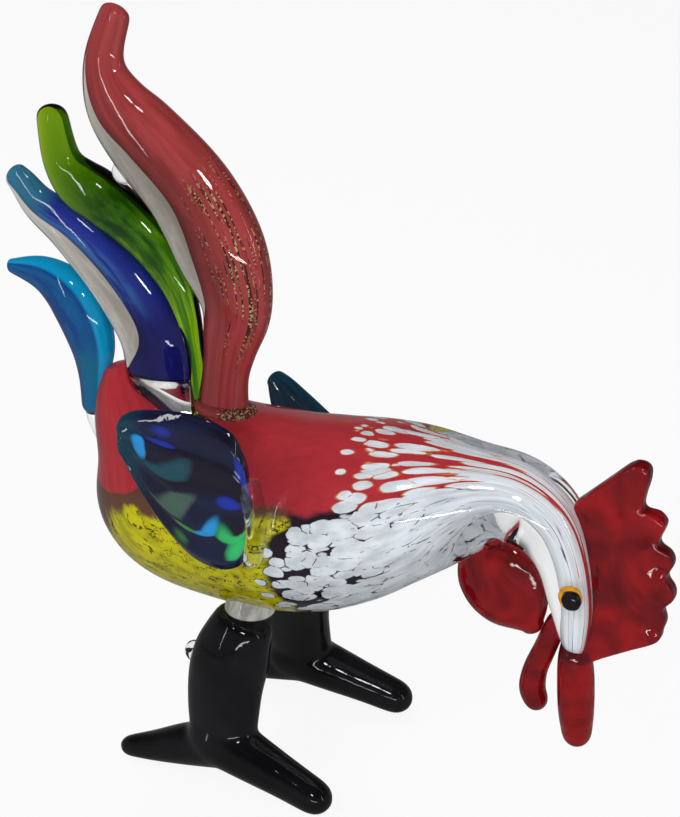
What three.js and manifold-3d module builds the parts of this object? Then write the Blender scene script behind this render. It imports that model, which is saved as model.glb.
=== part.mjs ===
// Hot-worked glass rooster, bent down as if to peck: a coloured core cased in clear glass,
// a fan of four tail feathers, two pressed wings, a comb, a wattle, an open beak, two eyes
// and two black legs. Every bit was set on hot, so each piece ends in the shape of its seat.
// Millimetres: +X is the way the bird faces, +Y its left, +Z up. It stands on z = 0.
import * as THREE from 'three';
import { mergeVertices } from 'three/addons/utils/BufferGeometryUtils.js';
import Module from 'manifold-3d';

const wasm = await Module();
wasm.setup();

// Fit between two pieces that were set on hot
const SEAM = 0.3;

// Body, neck and head: one gather, drawn out and bent down
const BODY_AXIS_HEIGHT = 89; // centre line above the table, over the legs
const BODY_RADIUS = 33.5; // thickest place, just behind the legs
const STUB_BACK = 53; // cut end of the gather, behind the legs
const STUB_RISE = 40; // cut end above the centre line
const STUB_RADIUS = 6;
const NECK_REACH = 88; // top of the bend, ahead of the legs
const NECK_RISE = 23; // top of the bend above the centre line
const NECK_RADIUS = 14.2;
const HEAD_FORWARD = 21; // end of the head ahead of the bend
const HEAD_DROP = 49.5; // end of the head below the bend
const HEAD_RADIUS = 8.2;
const HEAD_TIP_RADIUS = 3.5;
const CASING_WALL = 12.9; // clear glass over the coloured core, at the thickest place
const NECK_CLEAR = 11.4; // clear glass on the inner side of the bend
const HEAD_CLEAR = 5.6; // clear glass on the throat side of the head

// Comb: a pressed fin with a tall rear horn and scalloped edge
const COMB_REACH = 33.5; // head centre to the scallop tips
const COMB_HORN = 12.5; // extra height of the rear horn
const COMB_LOBES = 5;
const COMB_LOBE_PITCH = 21; // degrees
const COMB_TOP_ANGLE = 62; // degrees, rear horn above level
const COMB_NOTCH = 2.6; // depth between two scallops
const COMB_THICKNESS = 7.5;
const COMB_EDGE = 2.4; // rounding of its edge

// Wattle and beak
const WATTLE_WIDTH = 30;
const WATTLE_LENGTH = 33;
const WATTLE_THICKNESS = 10;
const UPPER_BEAK_LENGTH = 33;
const UPPER_BEAK_WIDTH = 11.6;
const LOWER_BEAK_LENGTH = 28;
const LOWER_BEAK_WIDTH = 8.2;

// Eyes
const IRIS_RADIUS = 4.1;
const IRIS_BULGE = 2;
const PUPIL_RADIUS = 3.3;
const PUPIL_AHEAD = 0.9; // pupil ahead of the middle of its iris

// Tail feathers: height and lean are from the root to the last full section
const RED_HEIGHT = 128;
const RED_LEAN = 40;
const RED_WIDTH = 32;
const RED_THICKNESS = 19;
const RED_CLEAR = 10; // clear glass behind its core, at the thickest place
const RED_CLEAR_ROW = 2; // row of its shape where that starts
const GREEN_DROP = 36; // green feather lower than the red one
const GREEN_HEIGHT = RED_HEIGHT - GREEN_DROP;
const GREEN_LEAN = 51.5;
const GREEN_WIDTH = 19.6;
const GREEN_THICKNESS = 14;
const COBALT_DROP = 19; // cobalt feather lower than the green one
const COBALT_HEIGHT = GREEN_HEIGHT - COBALT_DROP;
const COBALT_LEAN = 54;
const COBALT_WIDTH = 27;
const COBALT_THICKNESS = 14.5;
const COBALT_CLEAR = 10;
const COBALT_CLEAR_ROW = 1; // row of its shape where that starts
const AQUA_HEIGHT = 44;
const AQUA_LEAN = 27;
const AQUA_WIDTH = 19.6;
const AQUA_THICKNESS = 13;
const FEATHER_CASING = 1.2; // clear glass over the cores of the two cased feathers
const COLLAR_WIDTH = 1.8; // collar standing out round the red feather's root
const COLLAR_HEIGHT = 2.4;
const COLLAR_RISE = 2.5; // collar above the feather's root
const BRIDGE_RADIUS = 4.2; // bead that ties the red feather to the green one

// Wings: pressed leaves with raised ribs
const WING_LENGTH = 41;
const WING_DEPTH = 58;
const WING_THICKNESS = 6.4;
const WING_RIBS = 5;
const WING_RIB_RISE = 0.3; // of the thickness
const WING_STAND_OFF = 3; // wing middle outside the body's side
const WING_TILT = 3; // degrees, top edge outwards
const WING_FLARE = 3; // degrees, rear tip outwards
const WING_RISE = 25; // wing middle above the centre line
const WING_BACK = 10.5; // wing middle behind the legs
const LEFT_WING_DEPTH = 27; // the left wing is narrower
const LEFT_WING_PITCH = 36; // degrees, its tip turned up
const LEFT_WING_DROP = 13.5; // and it sits lower
const LEFT_WING_AHEAD = 8; // and further ahead
const WING_WELD_RADIUS = 2.8;

// Legs and feet
const STANCE = 59; // between the middles of the feet
const HIP_SPREAD = 39; // between the leg tops
const LEG_WIDTH = 26; // fore and aft, at the shin
const LEG_THICKNESS = 18;
const HIP_DEPTH = 7; // clear gather that shows under the belly
const HIP_WIDTH = 17;
const HIP_AHEAD = 3.5;
const KNEE_BACK = 3.6; // bow of the shin
const FRONT_TOE_LENGTH = 41; // ankle to toe tip
const BACK_TOE_LENGTH = 40;
const TOE_RADIUS = 6; // front toe at its end
const BACK_TOE_RADIUS = 3.8;
const ANKLE_HEIGHT = 16.5;
const TOE_OUT = 3.5; // front toe tip outside its ankle
const PAD_DEPTH = 0.6; // ground flat where a toe meets the table
const SPUR_RADIUS = 3.4;

// Mesh density
const BODY_RINGS = 20;
const BODY_AROUND = 16;
const FEATHER_RINGS = 12;
const FEATHER_AROUND = 10;
const LEG_RINGS = 6;
const LEG_AROUND = 10;
const DOME_RINGS = 2;
const BEAD_AROUND = 10;
const BEAD_RINGS = 6;

const mix = (from, to, share) => from + (to - from) * share;
const point = (x, z, y = 0) => new THREE.Vector3(x, y, z);
const station = (at, wide, thick = wide) => ({ at, wide, thick });

// Solids and booleans

function solid(geometry) {
  const bare = geometry.index ? geometry.toNonIndexed() : geometry.clone();
  bare.deleteAttribute('normal');
  bare.deleteAttribute('uv');
  const merged = mergeVertices(bare, 1e-4);
  return new wasm.Manifold(new wasm.Mesh({
    numProp: 3,
    vertProperties: merged.attributes.position.array,
    triVerts: new Uint32Array(merged.index.array),
  }));
}

function geometryOf(manifold) {
  const { vertProperties, triVerts } = manifold.getMesh();
  const geometry = new THREE.BufferGeometry();
  geometry.setAttribute('position', new THREE.BufferAttribute(vertProperties, 3));
  geometry.setIndex(new THREE.BufferAttribute(triVerts, 1));
  geometry.computeVertexNormals();
  return geometry;
}

// Cuts a piece back from each of its seats. A root that ran into a seat leaves a scrap on
// the far side of it, so only the largest body is the piece.
function seat(piece, ...seats) {
  const cut = seats.reduce((left, host) => left.subtract(host), piece);
  return cut.decompose().reduce((best, body) => (body.volume() > best.volume() ? body : best));
}

// Drawn glass: sections along a smooth line, domed at the ends

const roundSection = (count) => Array.from({ length: count }, (_, i) => {
  const turn = (i / count) * 2 * Math.PI;
  return { across: Math.cos(turn), through: Math.sin(turn) };
});

// A thin leaf with raised ribs that run along it, on both faces
function ribbedSection(count, ribs, rise) {
  const face = (across) => Math.sqrt(1 - across ** 4) * (1 + rise * Math.cos(Math.PI * ribs * across));
  const half = count / 2;
  return Array.from({ length: count }, (_, i) => {
    const across = i < half ? 1 - (2 * i) / half : (2 * (i - half)) / half - 1;
    return { across, through: (i < half ? 1 : -1) * face(across) };
  });
}

// grow swells the whole form, which makes it the tool that cuts its own seat. facing keeps
// every section square to one direction, for a broad leaf that must not fold on itself.
function drawn(stations, options) {
  const { rings, around, grow = 0, cutStart = false, facing, section = roundSection(around) } = options;
  const line = new THREE.CatmullRomCurve3(stations.map((s) => s.at));
  const sizes = new THREE.CatmullRomCurve3(stations.map((s) => new THREE.Vector3(s.wide, s.thick, 0)));
  const along = (share) => facing ?? line.getTangent(share);
  const side = new THREE.Vector3(0, 1, 0);
  const sections = [];

  const addRing = (share, offset, scale) => {
    const tangent = along(share);
    const through = side.clone().addScaledVector(tangent, -side.dot(tangent)).normalize();
    const across = through.clone().cross(tangent);
    const size = sizes.getPoint(share);
    const centre = line.getPoint(share).addScaledVector(tangent, offset);
    sections.push(section.map((spot) => centre.clone()
      .addScaledVector(across, spot.across * (size.x + grow) * scale)
      .addScaledVector(through, spot.through * (size.y + grow) * scale)));
  };
  const domeHeight = (share) => {
    const size = sizes.getPoint(share);
    return Math.min(size.x, size.y) + grow;
  };
  const pole = (share, offset) => line.getPoint(share).addScaledVector(along(share), offset);

  const startHeight = cutStart ? grow : domeHeight(0);
  const endHeight = domeHeight(1);
  const domeTurn = (i) => (i / DOME_RINGS) * Math.PI / 2;
  if (cutStart && grow > 0) addRing(0, -grow, 1);
  if (!cutStart) {
    for (let i = DOME_RINGS - 1; i > 0; i -= 1) {
      addRing(0, -startHeight * Math.sin(domeTurn(i)), Math.cos(domeTurn(i)));
    }
  }
  for (let i = 0; i <= rings; i += 1) addRing(i / rings, 0, 1);
  for (let i = 1; i < DOME_RINGS; i += 1) {
    addRing(1, endHeight * Math.sin(domeTurn(i)), Math.cos(domeTurn(i)));
  }
  return solid(skin(sections, pole(0, -startHeight), pole(1, endHeight)));
}

// Closed surface through rings of equal count and a pole at each end
function skin(sections, startPole, endPole) {
  const count = sections[0].length;
  const vertices = [...sections.flat(), startPole, endPole];
  const first = vertices.length - 2;
  const last = vertices.length - 1;
  const top = (sections.length - 1) * count;
  const faces = [];
  for (let j = 0; j < count; j += 1) {
    const next = (j + 1) % count;
    faces.push(first, next, j, last, top + j, top + next);
    for (let i = 0; i < sections.length - 1; i += 1) {
      const low = i * count;
      const high = low + count;
      faces.push(low + j, low + next, high + next, low + j, high + next, high + j);
    }
  }
  const geometry = new THREE.BufferGeometry().setFromPoints(vertices);
  geometry.setIndex(faces);
  return geometry;
}

// Body: casing and core

const headEnd = point(NECK_REACH + HEAD_FORWARD, BODY_AXIS_HEIGHT + NECK_RISE - HEAD_DROP);

// The gather's centre line from the cut end to the top of the bend, then down the head
const rumpStation = (back, rise, share) => station(
  point(-STUB_BACK * back, BODY_AXIS_HEIGHT + STUB_RISE * rise),
  mix(STUB_RADIUS, BODY_RADIUS, share),
);
const breastStation = (ahead, rise, share) => station(
  point(NECK_REACH * ahead, BODY_AXIS_HEIGHT + NECK_RISE * rise),
  mix(BODY_RADIUS, NECK_RADIUS, share),
);
const headStation = (ahead, drop, radius) => station(
  point(NECK_REACH + HEAD_FORWARD * ahead, BODY_AXIS_HEIGHT + NECK_RISE - HEAD_DROP * drop),
  radius,
);
const bodyStations = [
  rumpStation(1, 1, 0),
  rumpStation(0.97, 0.76, 0.17),
  rumpStation(0.86, 0.45, 0.37),
  rumpStation(0.62, 0.13, 0.83),
  rumpStation(0.2, 0, 1),
  breastStation(0.146, 0.08, 0.03),
  breastStation(0.34, 0.27, 0.18),
  breastStation(0.52, 0.53, 0.39),
  breastStation(0.7, 0.77, 0.62),
  breastStation(0.86, 0.95, 0.855),
  headStation(0, 0, NECK_RADIUS),
  headStation(0.47, 0.11, mix(NECK_RADIUS, HEAD_RADIUS, 0.32)),
  headStation(0.77, 0.335, mix(NECK_RADIUS, HEAD_RADIUS, 0.77)),
  headStation(0.92, 0.61, HEAD_RADIUS),
  headStation(0.98, 0.83, mix(HEAD_RADIUS, HEAD_TIP_RADIUS, 0.45)),
  headStation(1, 1, HEAD_TIP_RADIUS),
];

// Clear glass on the inner side of the line at each station, as a share of the radius: even along
// the body, thick round the bend, thinner down the throat
const casingShare = CASING_WALL / BODY_RADIUS;
const neckShare = NECK_CLEAR / NECK_RADIUS;
const headShare = HEAD_CLEAR / HEAD_RADIUS;
const innerShares = [
  ...Array(8).fill(casingShare),
  mix(casingShare, neckShare, 0.2),
  mix(casingShare, neckShare, 0.6),
  neckShare,
  mix(neckShare, headShare, 0.25),
  mix(neckShare, headShare, 0.7),
  headShare,
  mix(headShare, casingShare, 0.5),
  casingShare,
];

// A core lies off the centre line by half the difference of its two walls. The thick wall is on
// the inner side of the line where the core goes outwards, and the other way round.
function coreOf(stations, thickWalls, thinWalls, outwards) {
  const line = new THREE.CatmullRomCurve3(stations.map((s) => s.at));
  return stations.map((s, i) => {
    const tangent = line.getTangent(i / (stations.length - 1));
    const outward = new THREE.Vector3(-tangent.z, 0, tangent.x);
    const radius = (2 * s.wide - thinWalls[i] - thickWalls[i]) / 2;
    const at = s.at.clone().addScaledVector(outward, (outwards * (thickWalls[i] - thinWalls[i])) / 2);
    return station(at, radius, Math.min(radius, s.thick - thinWalls[i]));
  });
}

const bodyMesh = { rings: BODY_RINGS, around: BODY_AROUND, cutStart: true };
const bodyForm = (grow = 0) => drawn(bodyStations, { ...bodyMesh, grow });
const bodyCoreStations = coreOf(
  bodyStations,
  bodyStations.map((s, i) => s.wide * innerShares[i]),
  bodyStations.map((s) => s.wide * casingShare),
  1,
);
const bodySeat = bodyForm(SEAM);
const bodyCore = drawn(bodyCoreStations, bodyMesh);
const bodyCasing = bodyForm().subtract(drawn(bodyCoreStations, { ...bodyMesh, grow: SEAM }));

// Head: beak, wattle, comb and eyes

const beakMesh = { rings: LEG_RINGS, around: 10 };
const upperBeakStations = [
  [-0.12, -0.02, 0.86], [0.28, 0.01, 1.03], [0.64, 0.03, 1], [0.9, 0.05, 0.84],
].map(([down, ahead, share]) => station(
  headEnd.clone().add(point(UPPER_BEAK_LENGTH * ahead, -UPPER_BEAK_LENGTH * down)),
  (UPPER_BEAK_WIDTH / 2) * share,
));
const lowerBeakRoot = headEnd.clone().add(point(-HEAD_RADIUS, HEAD_TIP_RADIUS * 1.8));
const lowerBeakStations = [
  [0, 0, 0.85], [0.28, -0.08, 0.9], [0.57, -0.18, 0.97], [0.82, -0.21, 1.05], [0.97, -0.16, 0.97],
].map(([down, ahead, share]) => station(
  lowerBeakRoot.clone().add(point(LOWER_BEAK_LENGTH * ahead, -LOWER_BEAK_LENGTH * down)),
  (LOWER_BEAK_WIDTH / 2) * share,
));
// The wattle hangs inside the bend, from the throat to the beak.
const throat = headStation(0, 0.62, 0).at;
const wattleStations = [
  [-0.41, 0.37, 0.34], [-0.36, 0.3, 0.65], [-0.25, 0.16, 0.92], [-0.1, -0.03, 1], [0.04, -0.2, 0.84],
  [0.13, -0.31, 0.55], [0.17, -0.36, 0.3],
].map(([ahead, rise, share]) => station(
  throat.clone().add(point(WATTLE_LENGTH * ahead, WATTLE_LENGTH * rise)),
  (WATTLE_WIDTH / 2) * share,
  (WATTLE_THICKNESS / 2) * Math.sqrt(share),
));
const wattleMesh = { rings: 10, around: 12 };

function combOutline() {
  const centre = headStation(0.87, 0.41, 0).at;
  const polar = (degrees, radius) => {
    const turn = THREE.MathUtils.degToRad(degrees);
    return new THREE.Vector2(centre.x + radius * Math.cos(turn), centre.z + radius * Math.sin(turn));
  };
  const tip = (i) => COMB_REACH + COMB_HORN * (1 - i / (COMB_LOBES - 1)) ** 4;
  const angle = (i) => COMB_TOP_ANGLE - COMB_LOBE_PITCH * i;
  const edge = [];
  for (let i = 0; i < COMB_LOBES; i += 1) {
    edge.push(polar(angle(i) + COMB_LOBE_PITCH * 0.2, tip(i) - COMB_NOTCH * 0.12));
    edge.push(polar(angle(i) - COMB_LOBE_PITCH * 0.14, tip(i)));
    if (i < COMB_LOBES - 1) {
      edge.push(polar(angle(i + 0.5), tip(i + 1) - COMB_NOTCH));
    }
  }
  const lastAngle = angle(COMB_LOBES - 1);
  const outline = new THREE.Shape();
  outline.moveTo(centre.x, centre.z + COMB_REACH * 0.72);
  outline.lineTo(edge[0].x - COMB_HORN * 0.6, edge[0].y - COMB_HORN * 0.55);
  outline.splineThru(edge);
  outline.lineTo(...polar(lastAngle - COMB_LOBE_PITCH * 0.45, COMB_REACH * 1.03).toArray());
  outline.lineTo(headEnd.x + HEAD_TIP_RADIUS * 0.5, headEnd.z - HEAD_TIP_RADIUS);
  outline.lineTo(headEnd.x - HEAD_TIP_RADIUS * 0.5, headEnd.z + HEAD_TIP_RADIUS);
  return outline;
}

function combForm() {
  const fin = new THREE.ExtrudeGeometry(combOutline(), {
    depth: COMB_THICKNESS - 2 * COMB_EDGE,
    bevelThickness: COMB_EDGE,
    bevelSize: COMB_EDGE,
    bevelOffset: -COMB_EDGE,
    bevelSegments: 2,
    curveSegments: 2,
  });
  fin.rotateX(Math.PI / 2);
  fin.translate(0, COMB_THICKNESS / 2 - COMB_EDGE, 0);
  return solid(fin);
}

const upperBeakForm = (grow) => drawn(upperBeakStations, { ...beakMesh, grow });
const wattleForm = (grow) => drawn(wattleStations, { ...wattleMesh, grow });
const upperBeak = seat(upperBeakForm(0), bodySeat);
const wattle = seat(wattleForm(0), bodySeat, upperBeakForm(SEAM));
const lowerBeak = seat(drawn(lowerBeakStations, beakMesh), bodySeat, wattleForm(SEAM), upperBeakForm(SEAM));
const comb = seat(combForm(), bodySeat, upperBeakForm(SEAM));

const eyeCentre = headStation(1, 0.51, 0).at;

function lens(centre, radius, bulge) {
  const form = new THREE.SphereGeometry(radius, BEAD_AROUND, BEAD_RINGS);
  form.scale(1, bulge / radius, 1);
  form.translate(centre.x, centre.y, centre.z);
  return solid(form);
}

function eye(side) {
  const centre = eyeCentre.clone();
  centre.y = side * (HEAD_RADIUS + IRIS_BULGE * 0.1);
  const gaze = centre.clone().add(point(PUPIL_AHEAD, 0, side * IRIS_BULGE * 0.8));
  return {
    iris: seat(lens(centre, IRIS_RADIUS, IRIS_BULGE), bodySeat),
    pupil: seat(
      lens(gaze, PUPIL_RADIUS, PUPIL_RADIUS * 0.62),
      lens(centre, IRIS_RADIUS + SEAM, IRIS_BULGE + SEAM),
    ),
  };
}

// Tail

const featherMesh = { rings: FEATHER_RINGS, around: FEATHER_AROUND };

// Each row of a feather's shape is rise, lean and width, as shares of its own sizes.
const featherStations = (root, height, lean, width, thickness, shape) => shape.map(
  ([rise, back, share]) => station(
    root.clone().add(point(-lean * back, height * rise)),
    (width / 2) * share,
    (thickness / 2) * share,
  ),
);
const backTop = (behind) => point(-STUB_BACK * behind, BODY_AXIS_HEIGHT + BODY_RADIUS * 0.94);

const redRoot = backTop(0.26);
const greenRoot = backTop(0.4);
const cobaltRoot = backTop(0.64);

const redStations = featherStations(redRoot, RED_HEIGHT, RED_LEAN, RED_WIDTH, RED_THICKNESS, [
  [0, 0.03, 0.58], [0.11, 0, 0.5], [0.2, -0.05, 0.59], [0.31, -0.11, 0.78], [0.44, 0.01, 1],
  [0.58, 0.26, 0.98], [0.7, 0.65, 0.89], [0.785, 0.9, 0.72], [0.89, 1, 0.43], [1.01, 0.88, 0.32],
]);
const greenStations = featherStations(greenRoot, GREEN_HEIGHT, GREEN_LEAN, GREEN_WIDTH, GREEN_THICKNESS, [
  [-0.05, 0.03, 0.41], [0.15, 0.05, 0.37], [0.24, 0.07, 0.36], [0.36, 0.11, 0.46], [0.5, 0.21, 0.66],
  [0.63, 0.41, 0.84], [0.73, 0.68, 0.98], [0.78, 0.85, 0.92], [0.86, 0.97, 0.69], [1.01, 1.02, 0.56],
]);
const cobaltStations = featherStations(
  cobaltRoot, COBALT_HEIGHT, COBALT_LEAN, COBALT_WIDTH, COBALT_THICKNESS,
  [
    [0.08, 0.07, 0.92], [0.25, 0.1, 0.92], [0.38, 0.18, 0.87], [0.55, 0.37, 0.78], [0.68, 0.55, 0.68],
    [0.77, 0.7, 0.6], [0.85, 0.86, 0.5], [0.93, 0.96, 0.4], [0.97, 1.02, 0.34],
  ],
);
const stubRear = rumpStation(1, 0.6, 0).at.clone().add(point(-STUB_RADIUS * 1.75, 0));
const aquaStations = featherStations(stubRear, AQUA_HEIGHT, AQUA_LEAN, AQUA_WIDTH, AQUA_THICKNESS, [
  [0, 0.02, 0.42], [0.27, -0.01, 0.57], [0.56, 0, 0.88],
  [0.86, 0.2, 0.98], [1.02, 0.6, 0.67], [1.04, 1.08, 0.26],
]);

// A cased feather's core lies towards its front edge and comes out at the root. The clear glass
// behind it starts some rows up and is thickest between there and the tip.
function featherCoreStations(stations, clear, firstRow) {
  const thin = stations.map((s) => Math.min(FEATHER_CASING, s.wide * 0.3));
  const thick = stations.map((s, i) => {
    const rise = Math.max(0, i - firstRow) / (stations.length - 1 - firstRow);
    const swell = Math.sin(Math.PI * rise) ** 2;
    return Math.min(mix(thin[i], clear, swell), s.wide * 0.85);
  });
  return coreOf(stations, thick, thin, -1).map((s, i) => {
    const outer = stations[i];
    return station(s.at, s.wide, Math.min(outer.thick * 0.8, outer.thick - FEATHER_CASING * 0.6));
  });
}

const redForm = (grow) => drawn(redStations, { ...featherMesh, grow });
const greenForm = (grow) => drawn(greenStations, { ...featherMesh, grow });
const cobaltForm = (grow) => drawn(cobaltStations, { ...featherMesh, grow });
const aquaForm = (grow) => drawn(aquaStations, { ...featherMesh, grow });
const redSeat = redForm(SEAM);
const greenSeat = greenForm(SEAM);
const cobaltSeat = cobaltForm(SEAM);
const aquaSeat = aquaForm(SEAM);

function casedFeather(form, stations, clear, firstRow, ...seats) {
  const coreStations = featherCoreStations(stations, clear, firstRow);
  const coreForm = (grow) => drawn(coreStations, { ...featherMesh, grow });
  return {
    core: seat(coreForm(0), ...seats),
    casing: seat(form, coreForm(SEAM), ...seats),
  };
}

const red = casedFeather(redForm(0), redStations, RED_CLEAR, RED_CLEAR_ROW, bodySeat);
const green = seat(greenForm(0), bodySeat, redSeat);
// The cobalt feather stands on a clear foot, and its core comes out on top of the foot.
const cobaltFootStations = [[-0.08, 0.03, 0.94], [0.03, 0.06, 0.94], [0.11, 0.07, 0.9]].map(
  ([rise, back, share]) => station(
    cobaltRoot.clone().add(point(-COBALT_LEAN * back, COBALT_HEIGHT * rise)),
    (COBALT_WIDTH / 2) * share,
    (COBALT_THICKNESS / 2) * share,
  ),
);
const cobaltFootForm = (grow) => drawn(cobaltFootStations, { rings: 4, around: FEATHER_AROUND, grow });
const cobaltFootSeat = cobaltFootForm(SEAM);
const cobaltFoot = seat(cobaltFootForm(0), bodySeat, redSeat, greenSeat);
const cobalt = casedFeather(
  cobaltForm(0), cobaltStations, COBALT_CLEAR, COBALT_CLEAR_ROW,
  bodySeat, redSeat, greenSeat, cobaltFootSeat,
);
const aqua = seat(aquaForm(0), bodySeat, cobaltSeat, cobaltFootSeat);

// Gold-flecked clear glass gathered round the red feather's root, where it was stuck on
const redCollarStations = [-0.5, 0, 0.5].map((level) => station(
  redStations[0].at.clone().add(point(RED_LEAN * 0.03, COLLAR_RISE + COLLAR_HEIGHT * level)),
  redStations[0].wide + COLLAR_WIDTH * (level > 0 ? 0.4 : 1),
  redStations[0].thick + COLLAR_WIDTH * (level > 0 ? 0.4 : 1),
));
const redCollar = seat(
  drawn(redCollarStations, { rings: 4, around: FEATHER_AROUND }),
  bodySeat, redSeat, greenSeat, cobaltFootSeat,
);
// The aqua feather's clear root runs down the back of the stub.
const aquaRootStations = [[0.1, 0, 0.36], [-0.1, -0.02, 0.34], [-0.25, -0.1, 0.24]].map(
  ([rise, back, share]) => station(
    stubRear.clone().add(point(-AQUA_LEAN * back, AQUA_HEIGHT * rise)),
    (AQUA_WIDTH / 2) * share,
    (AQUA_THICKNESS / 2) * share * 1.4,
  ),
);
const aquaRoot = seat(drawn(aquaRootStations, { rings: 6, around: 10 }), bodySeat, aquaSeat);

const bridgeCentre = redStations[6].at.clone().lerp(greenStations[6].at, 0.5);
const bridge = seat(lens(bridgeCentre, BRIDGE_RADIUS, BRIDGE_RADIUS), redSeat, greenSeat);

// Wings

const wingMesh = {
  rings: 10,
  section: ribbedSection(4 * WING_RIBS, WING_RIBS, WING_RIB_RISE),
  facing: new THREE.Vector3(-1, 0, 0),
};
const leafStations = (depth) => [
  [0.5, -0.065, 0.68], [0.45, -0.06, 0.82], [0.3, -0.055, 0.92], [0.1, -0.03, 0.92], [-0.06, 0.01, 0.83],
  [-0.22, 0.07, 0.68], [-0.38, 0.155, 0.46], [-0.48, 0.21, 0.26],
].map(([ahead, rise, share]) => station(
  point(WING_LENGTH * ahead, depth * rise),
  (depth / 2) * share,
  (WING_THICKNESS / 2) * Math.min(1, 0.55 + share * 0.45),
));
// The clear tag that ties the wing's front edge to the body
const tagStations = (depth) => [[0.57, 0.03], [0.61, -0.18], [0.57, -0.4]].map(
  ([ahead, rise]) => station(
    point(WING_LENGTH * ahead, depth * rise),
    WING_WELD_RADIUS,
    WING_WELD_RADIUS * 2,
  ),
);

function wing(side, depth, ahead, drop, pitch) {
  const turn = (degrees) => THREE.MathUtils.degToRad(degrees);
  const middle = point(
    ahead - WING_BACK,
    BODY_AXIS_HEIGHT + WING_RISE - drop,
    side * (BODY_RADIUS + WING_STAND_OFF),
  );
  const angles = new THREE.Euler(turn(-side * WING_TILT), turn(pitch), turn(-side * WING_FLARE), 'ZXY');
  const pose = new THREE.Matrix4().makeRotationFromEuler(angles).setPosition(middle);
  const placed = (stations, mesh) => drawn(stations, mesh).transform(pose.elements);
  return {
    leaf: seat(placed(leafStations(depth), wingMesh), bodySeat),
    weld: seat(
      placed(tagStations(depth), { rings: 4, around: 6 }),
      bodySeat,
      placed(leafStations(depth), { ...wingMesh, grow: 2 * SEAM }),
    ),
  };
}
const rightWing = wing(-1, WING_DEPTH, 0, 0, 0);
const leftWing = wing(1, LEFT_WING_DEPTH, LEFT_WING_AHEAD, LEFT_WING_DROP, LEFT_WING_PITCH);

// Legs and feet

const legMesh = { rings: LEG_RINGS, around: LEG_AROUND };
const table = solid(new THREE.BoxGeometry(4 * NECK_REACH, 4 * NECK_REACH, 2 * BODY_RADIUS)
  .translate(0, 0, -BODY_RADIUS));

function leg(side) {
  const footSide = (side * STANCE) / 2;
  const hipSide = (side * HIP_SPREAD) / 2;
  const belly = BODY_AXIS_HEIGHT - Math.sqrt(BODY_RADIUS ** 2 - hipSide ** 2);
  const hip = point(HIP_AHEAD, belly, hipSide);
  const ankle = point(-ANKLE_HEIGHT * 0.1, ANKLE_HEIGHT, footSide);
  const down = (share) => hip.clone().lerp(ankle, share);

  const hipStations = [0.9, 0.2, -0.12].map((rise, i) => station(
    hip.clone().add(point(0, HIP_DEPTH * rise, -side * HIP_DEPTH * rise * 0.5)),
    (HIP_WIDTH / 2) * [0.9, 1, 0.86][i],
    (HIP_WIDTH / 2) * [0.8, 0.88, 0.74][i],
  ));
  const shinStations = [
    [0.14, 0.62, 0.76], [0.24, 0.8, 0.92], [0.38, 1.02, 1.06],
    [0.58, 1.02, 1], [0.8, 0.97, 0.96], [0.96, 0.9, 0.92],
  ].map(([share, wide, thick]) => station(
    down(share).add(point(-KNEE_BACK * Math.sin(Math.PI * share), 0)),
    (LEG_WIDTH / 2) * wide,
    (LEG_THICKNESS / 2) * thick,
  ));
  const toe = (length, turnOut, radius, rows) => rows.map(([out, rise, share]) => station(
    point(
      ankle.x + length * out,
      mix(radius - PAD_DEPTH, ANKLE_HEIGHT, rise),
      footSide + side * turnOut * out,
    ),
    radius * share,
  ));
  const front = toe(FRONT_TOE_LENGTH - TOE_RADIUS, TOE_OUT, TOE_RADIUS, [
    [-0.1, 1, 1.6], [0.32, 0.62, 1.36], [0.68, 0.3, 1.14], [1, 0, 1],
  ]);
  const back = toe(BACK_TOE_RADIUS - BACK_TOE_LENGTH, 0, BACK_TOE_RADIUS, [
    [-0.1, 0.92, 2.3], [0.36, 0.56, 1.95], [0.7, 0.24, 1.45], [1, 0, 1],
  ]);
  const footForm = (grow) => drawn(front, { ...legMesh, grow }).add(drawn(back, { ...legMesh, grow }));
  const hipForm = (grow) => drawn(hipStations, { rings: 4, around: LEG_AROUND, grow });
  const shinForm = (grow) => drawn(shinStations, { ...legMesh, grow });
  const footSeat = footForm(SEAM);
  const spur = down(0.4).add(point(-LEG_WIDTH * 0.5 - KNEE_BACK, 0));
  return {
    hip: seat(hipForm(0), bodySeat),
    shin: seat(shinForm(0), bodySeat, hipForm(SEAM), footSeat),
    foot: seat(footForm(0), table),
    spur: seat(lens(spur, SPUR_RADIUS, SPUR_RADIUS), shinForm(SEAM)),
  };
}
const rightLeg = leg(-1);
const leftLeg = leg(1);

// Glass colours

const glass = (color, opacity, roughness = 0.05) => new THREE.MeshStandardMaterial({
  color, roughness, metalness: 0, opacity, transparent: opacity < 1,
});
const clearGlass = glass(0xe9eef0, 0.3);
const brickRed = glass(0xa32d34, 1, 0.12);
const rubyGlass = glass(0xb4101c, 0.75);
const greenGlass = glass(0x3f8a14, 0.7);
const cobaltGlass = glass(0x1a1fa0, 0.85);
const aquaGlass = glass(0x0a78b8, 0.75);
const wingGlass = glass(0x0d2a5e, 0.75);
const blackGlass = glass(0x0b0c10, 1);
const amberGlass = glass(0xe8a20c, 1);

function piece(name, manifold, material) {
  const mesh = new THREE.Mesh(geometryOf(manifold), material.clone());
  mesh.name = name;
  return mesh;
}
const group = (...members) => new THREE.Group().add(...members);

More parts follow.
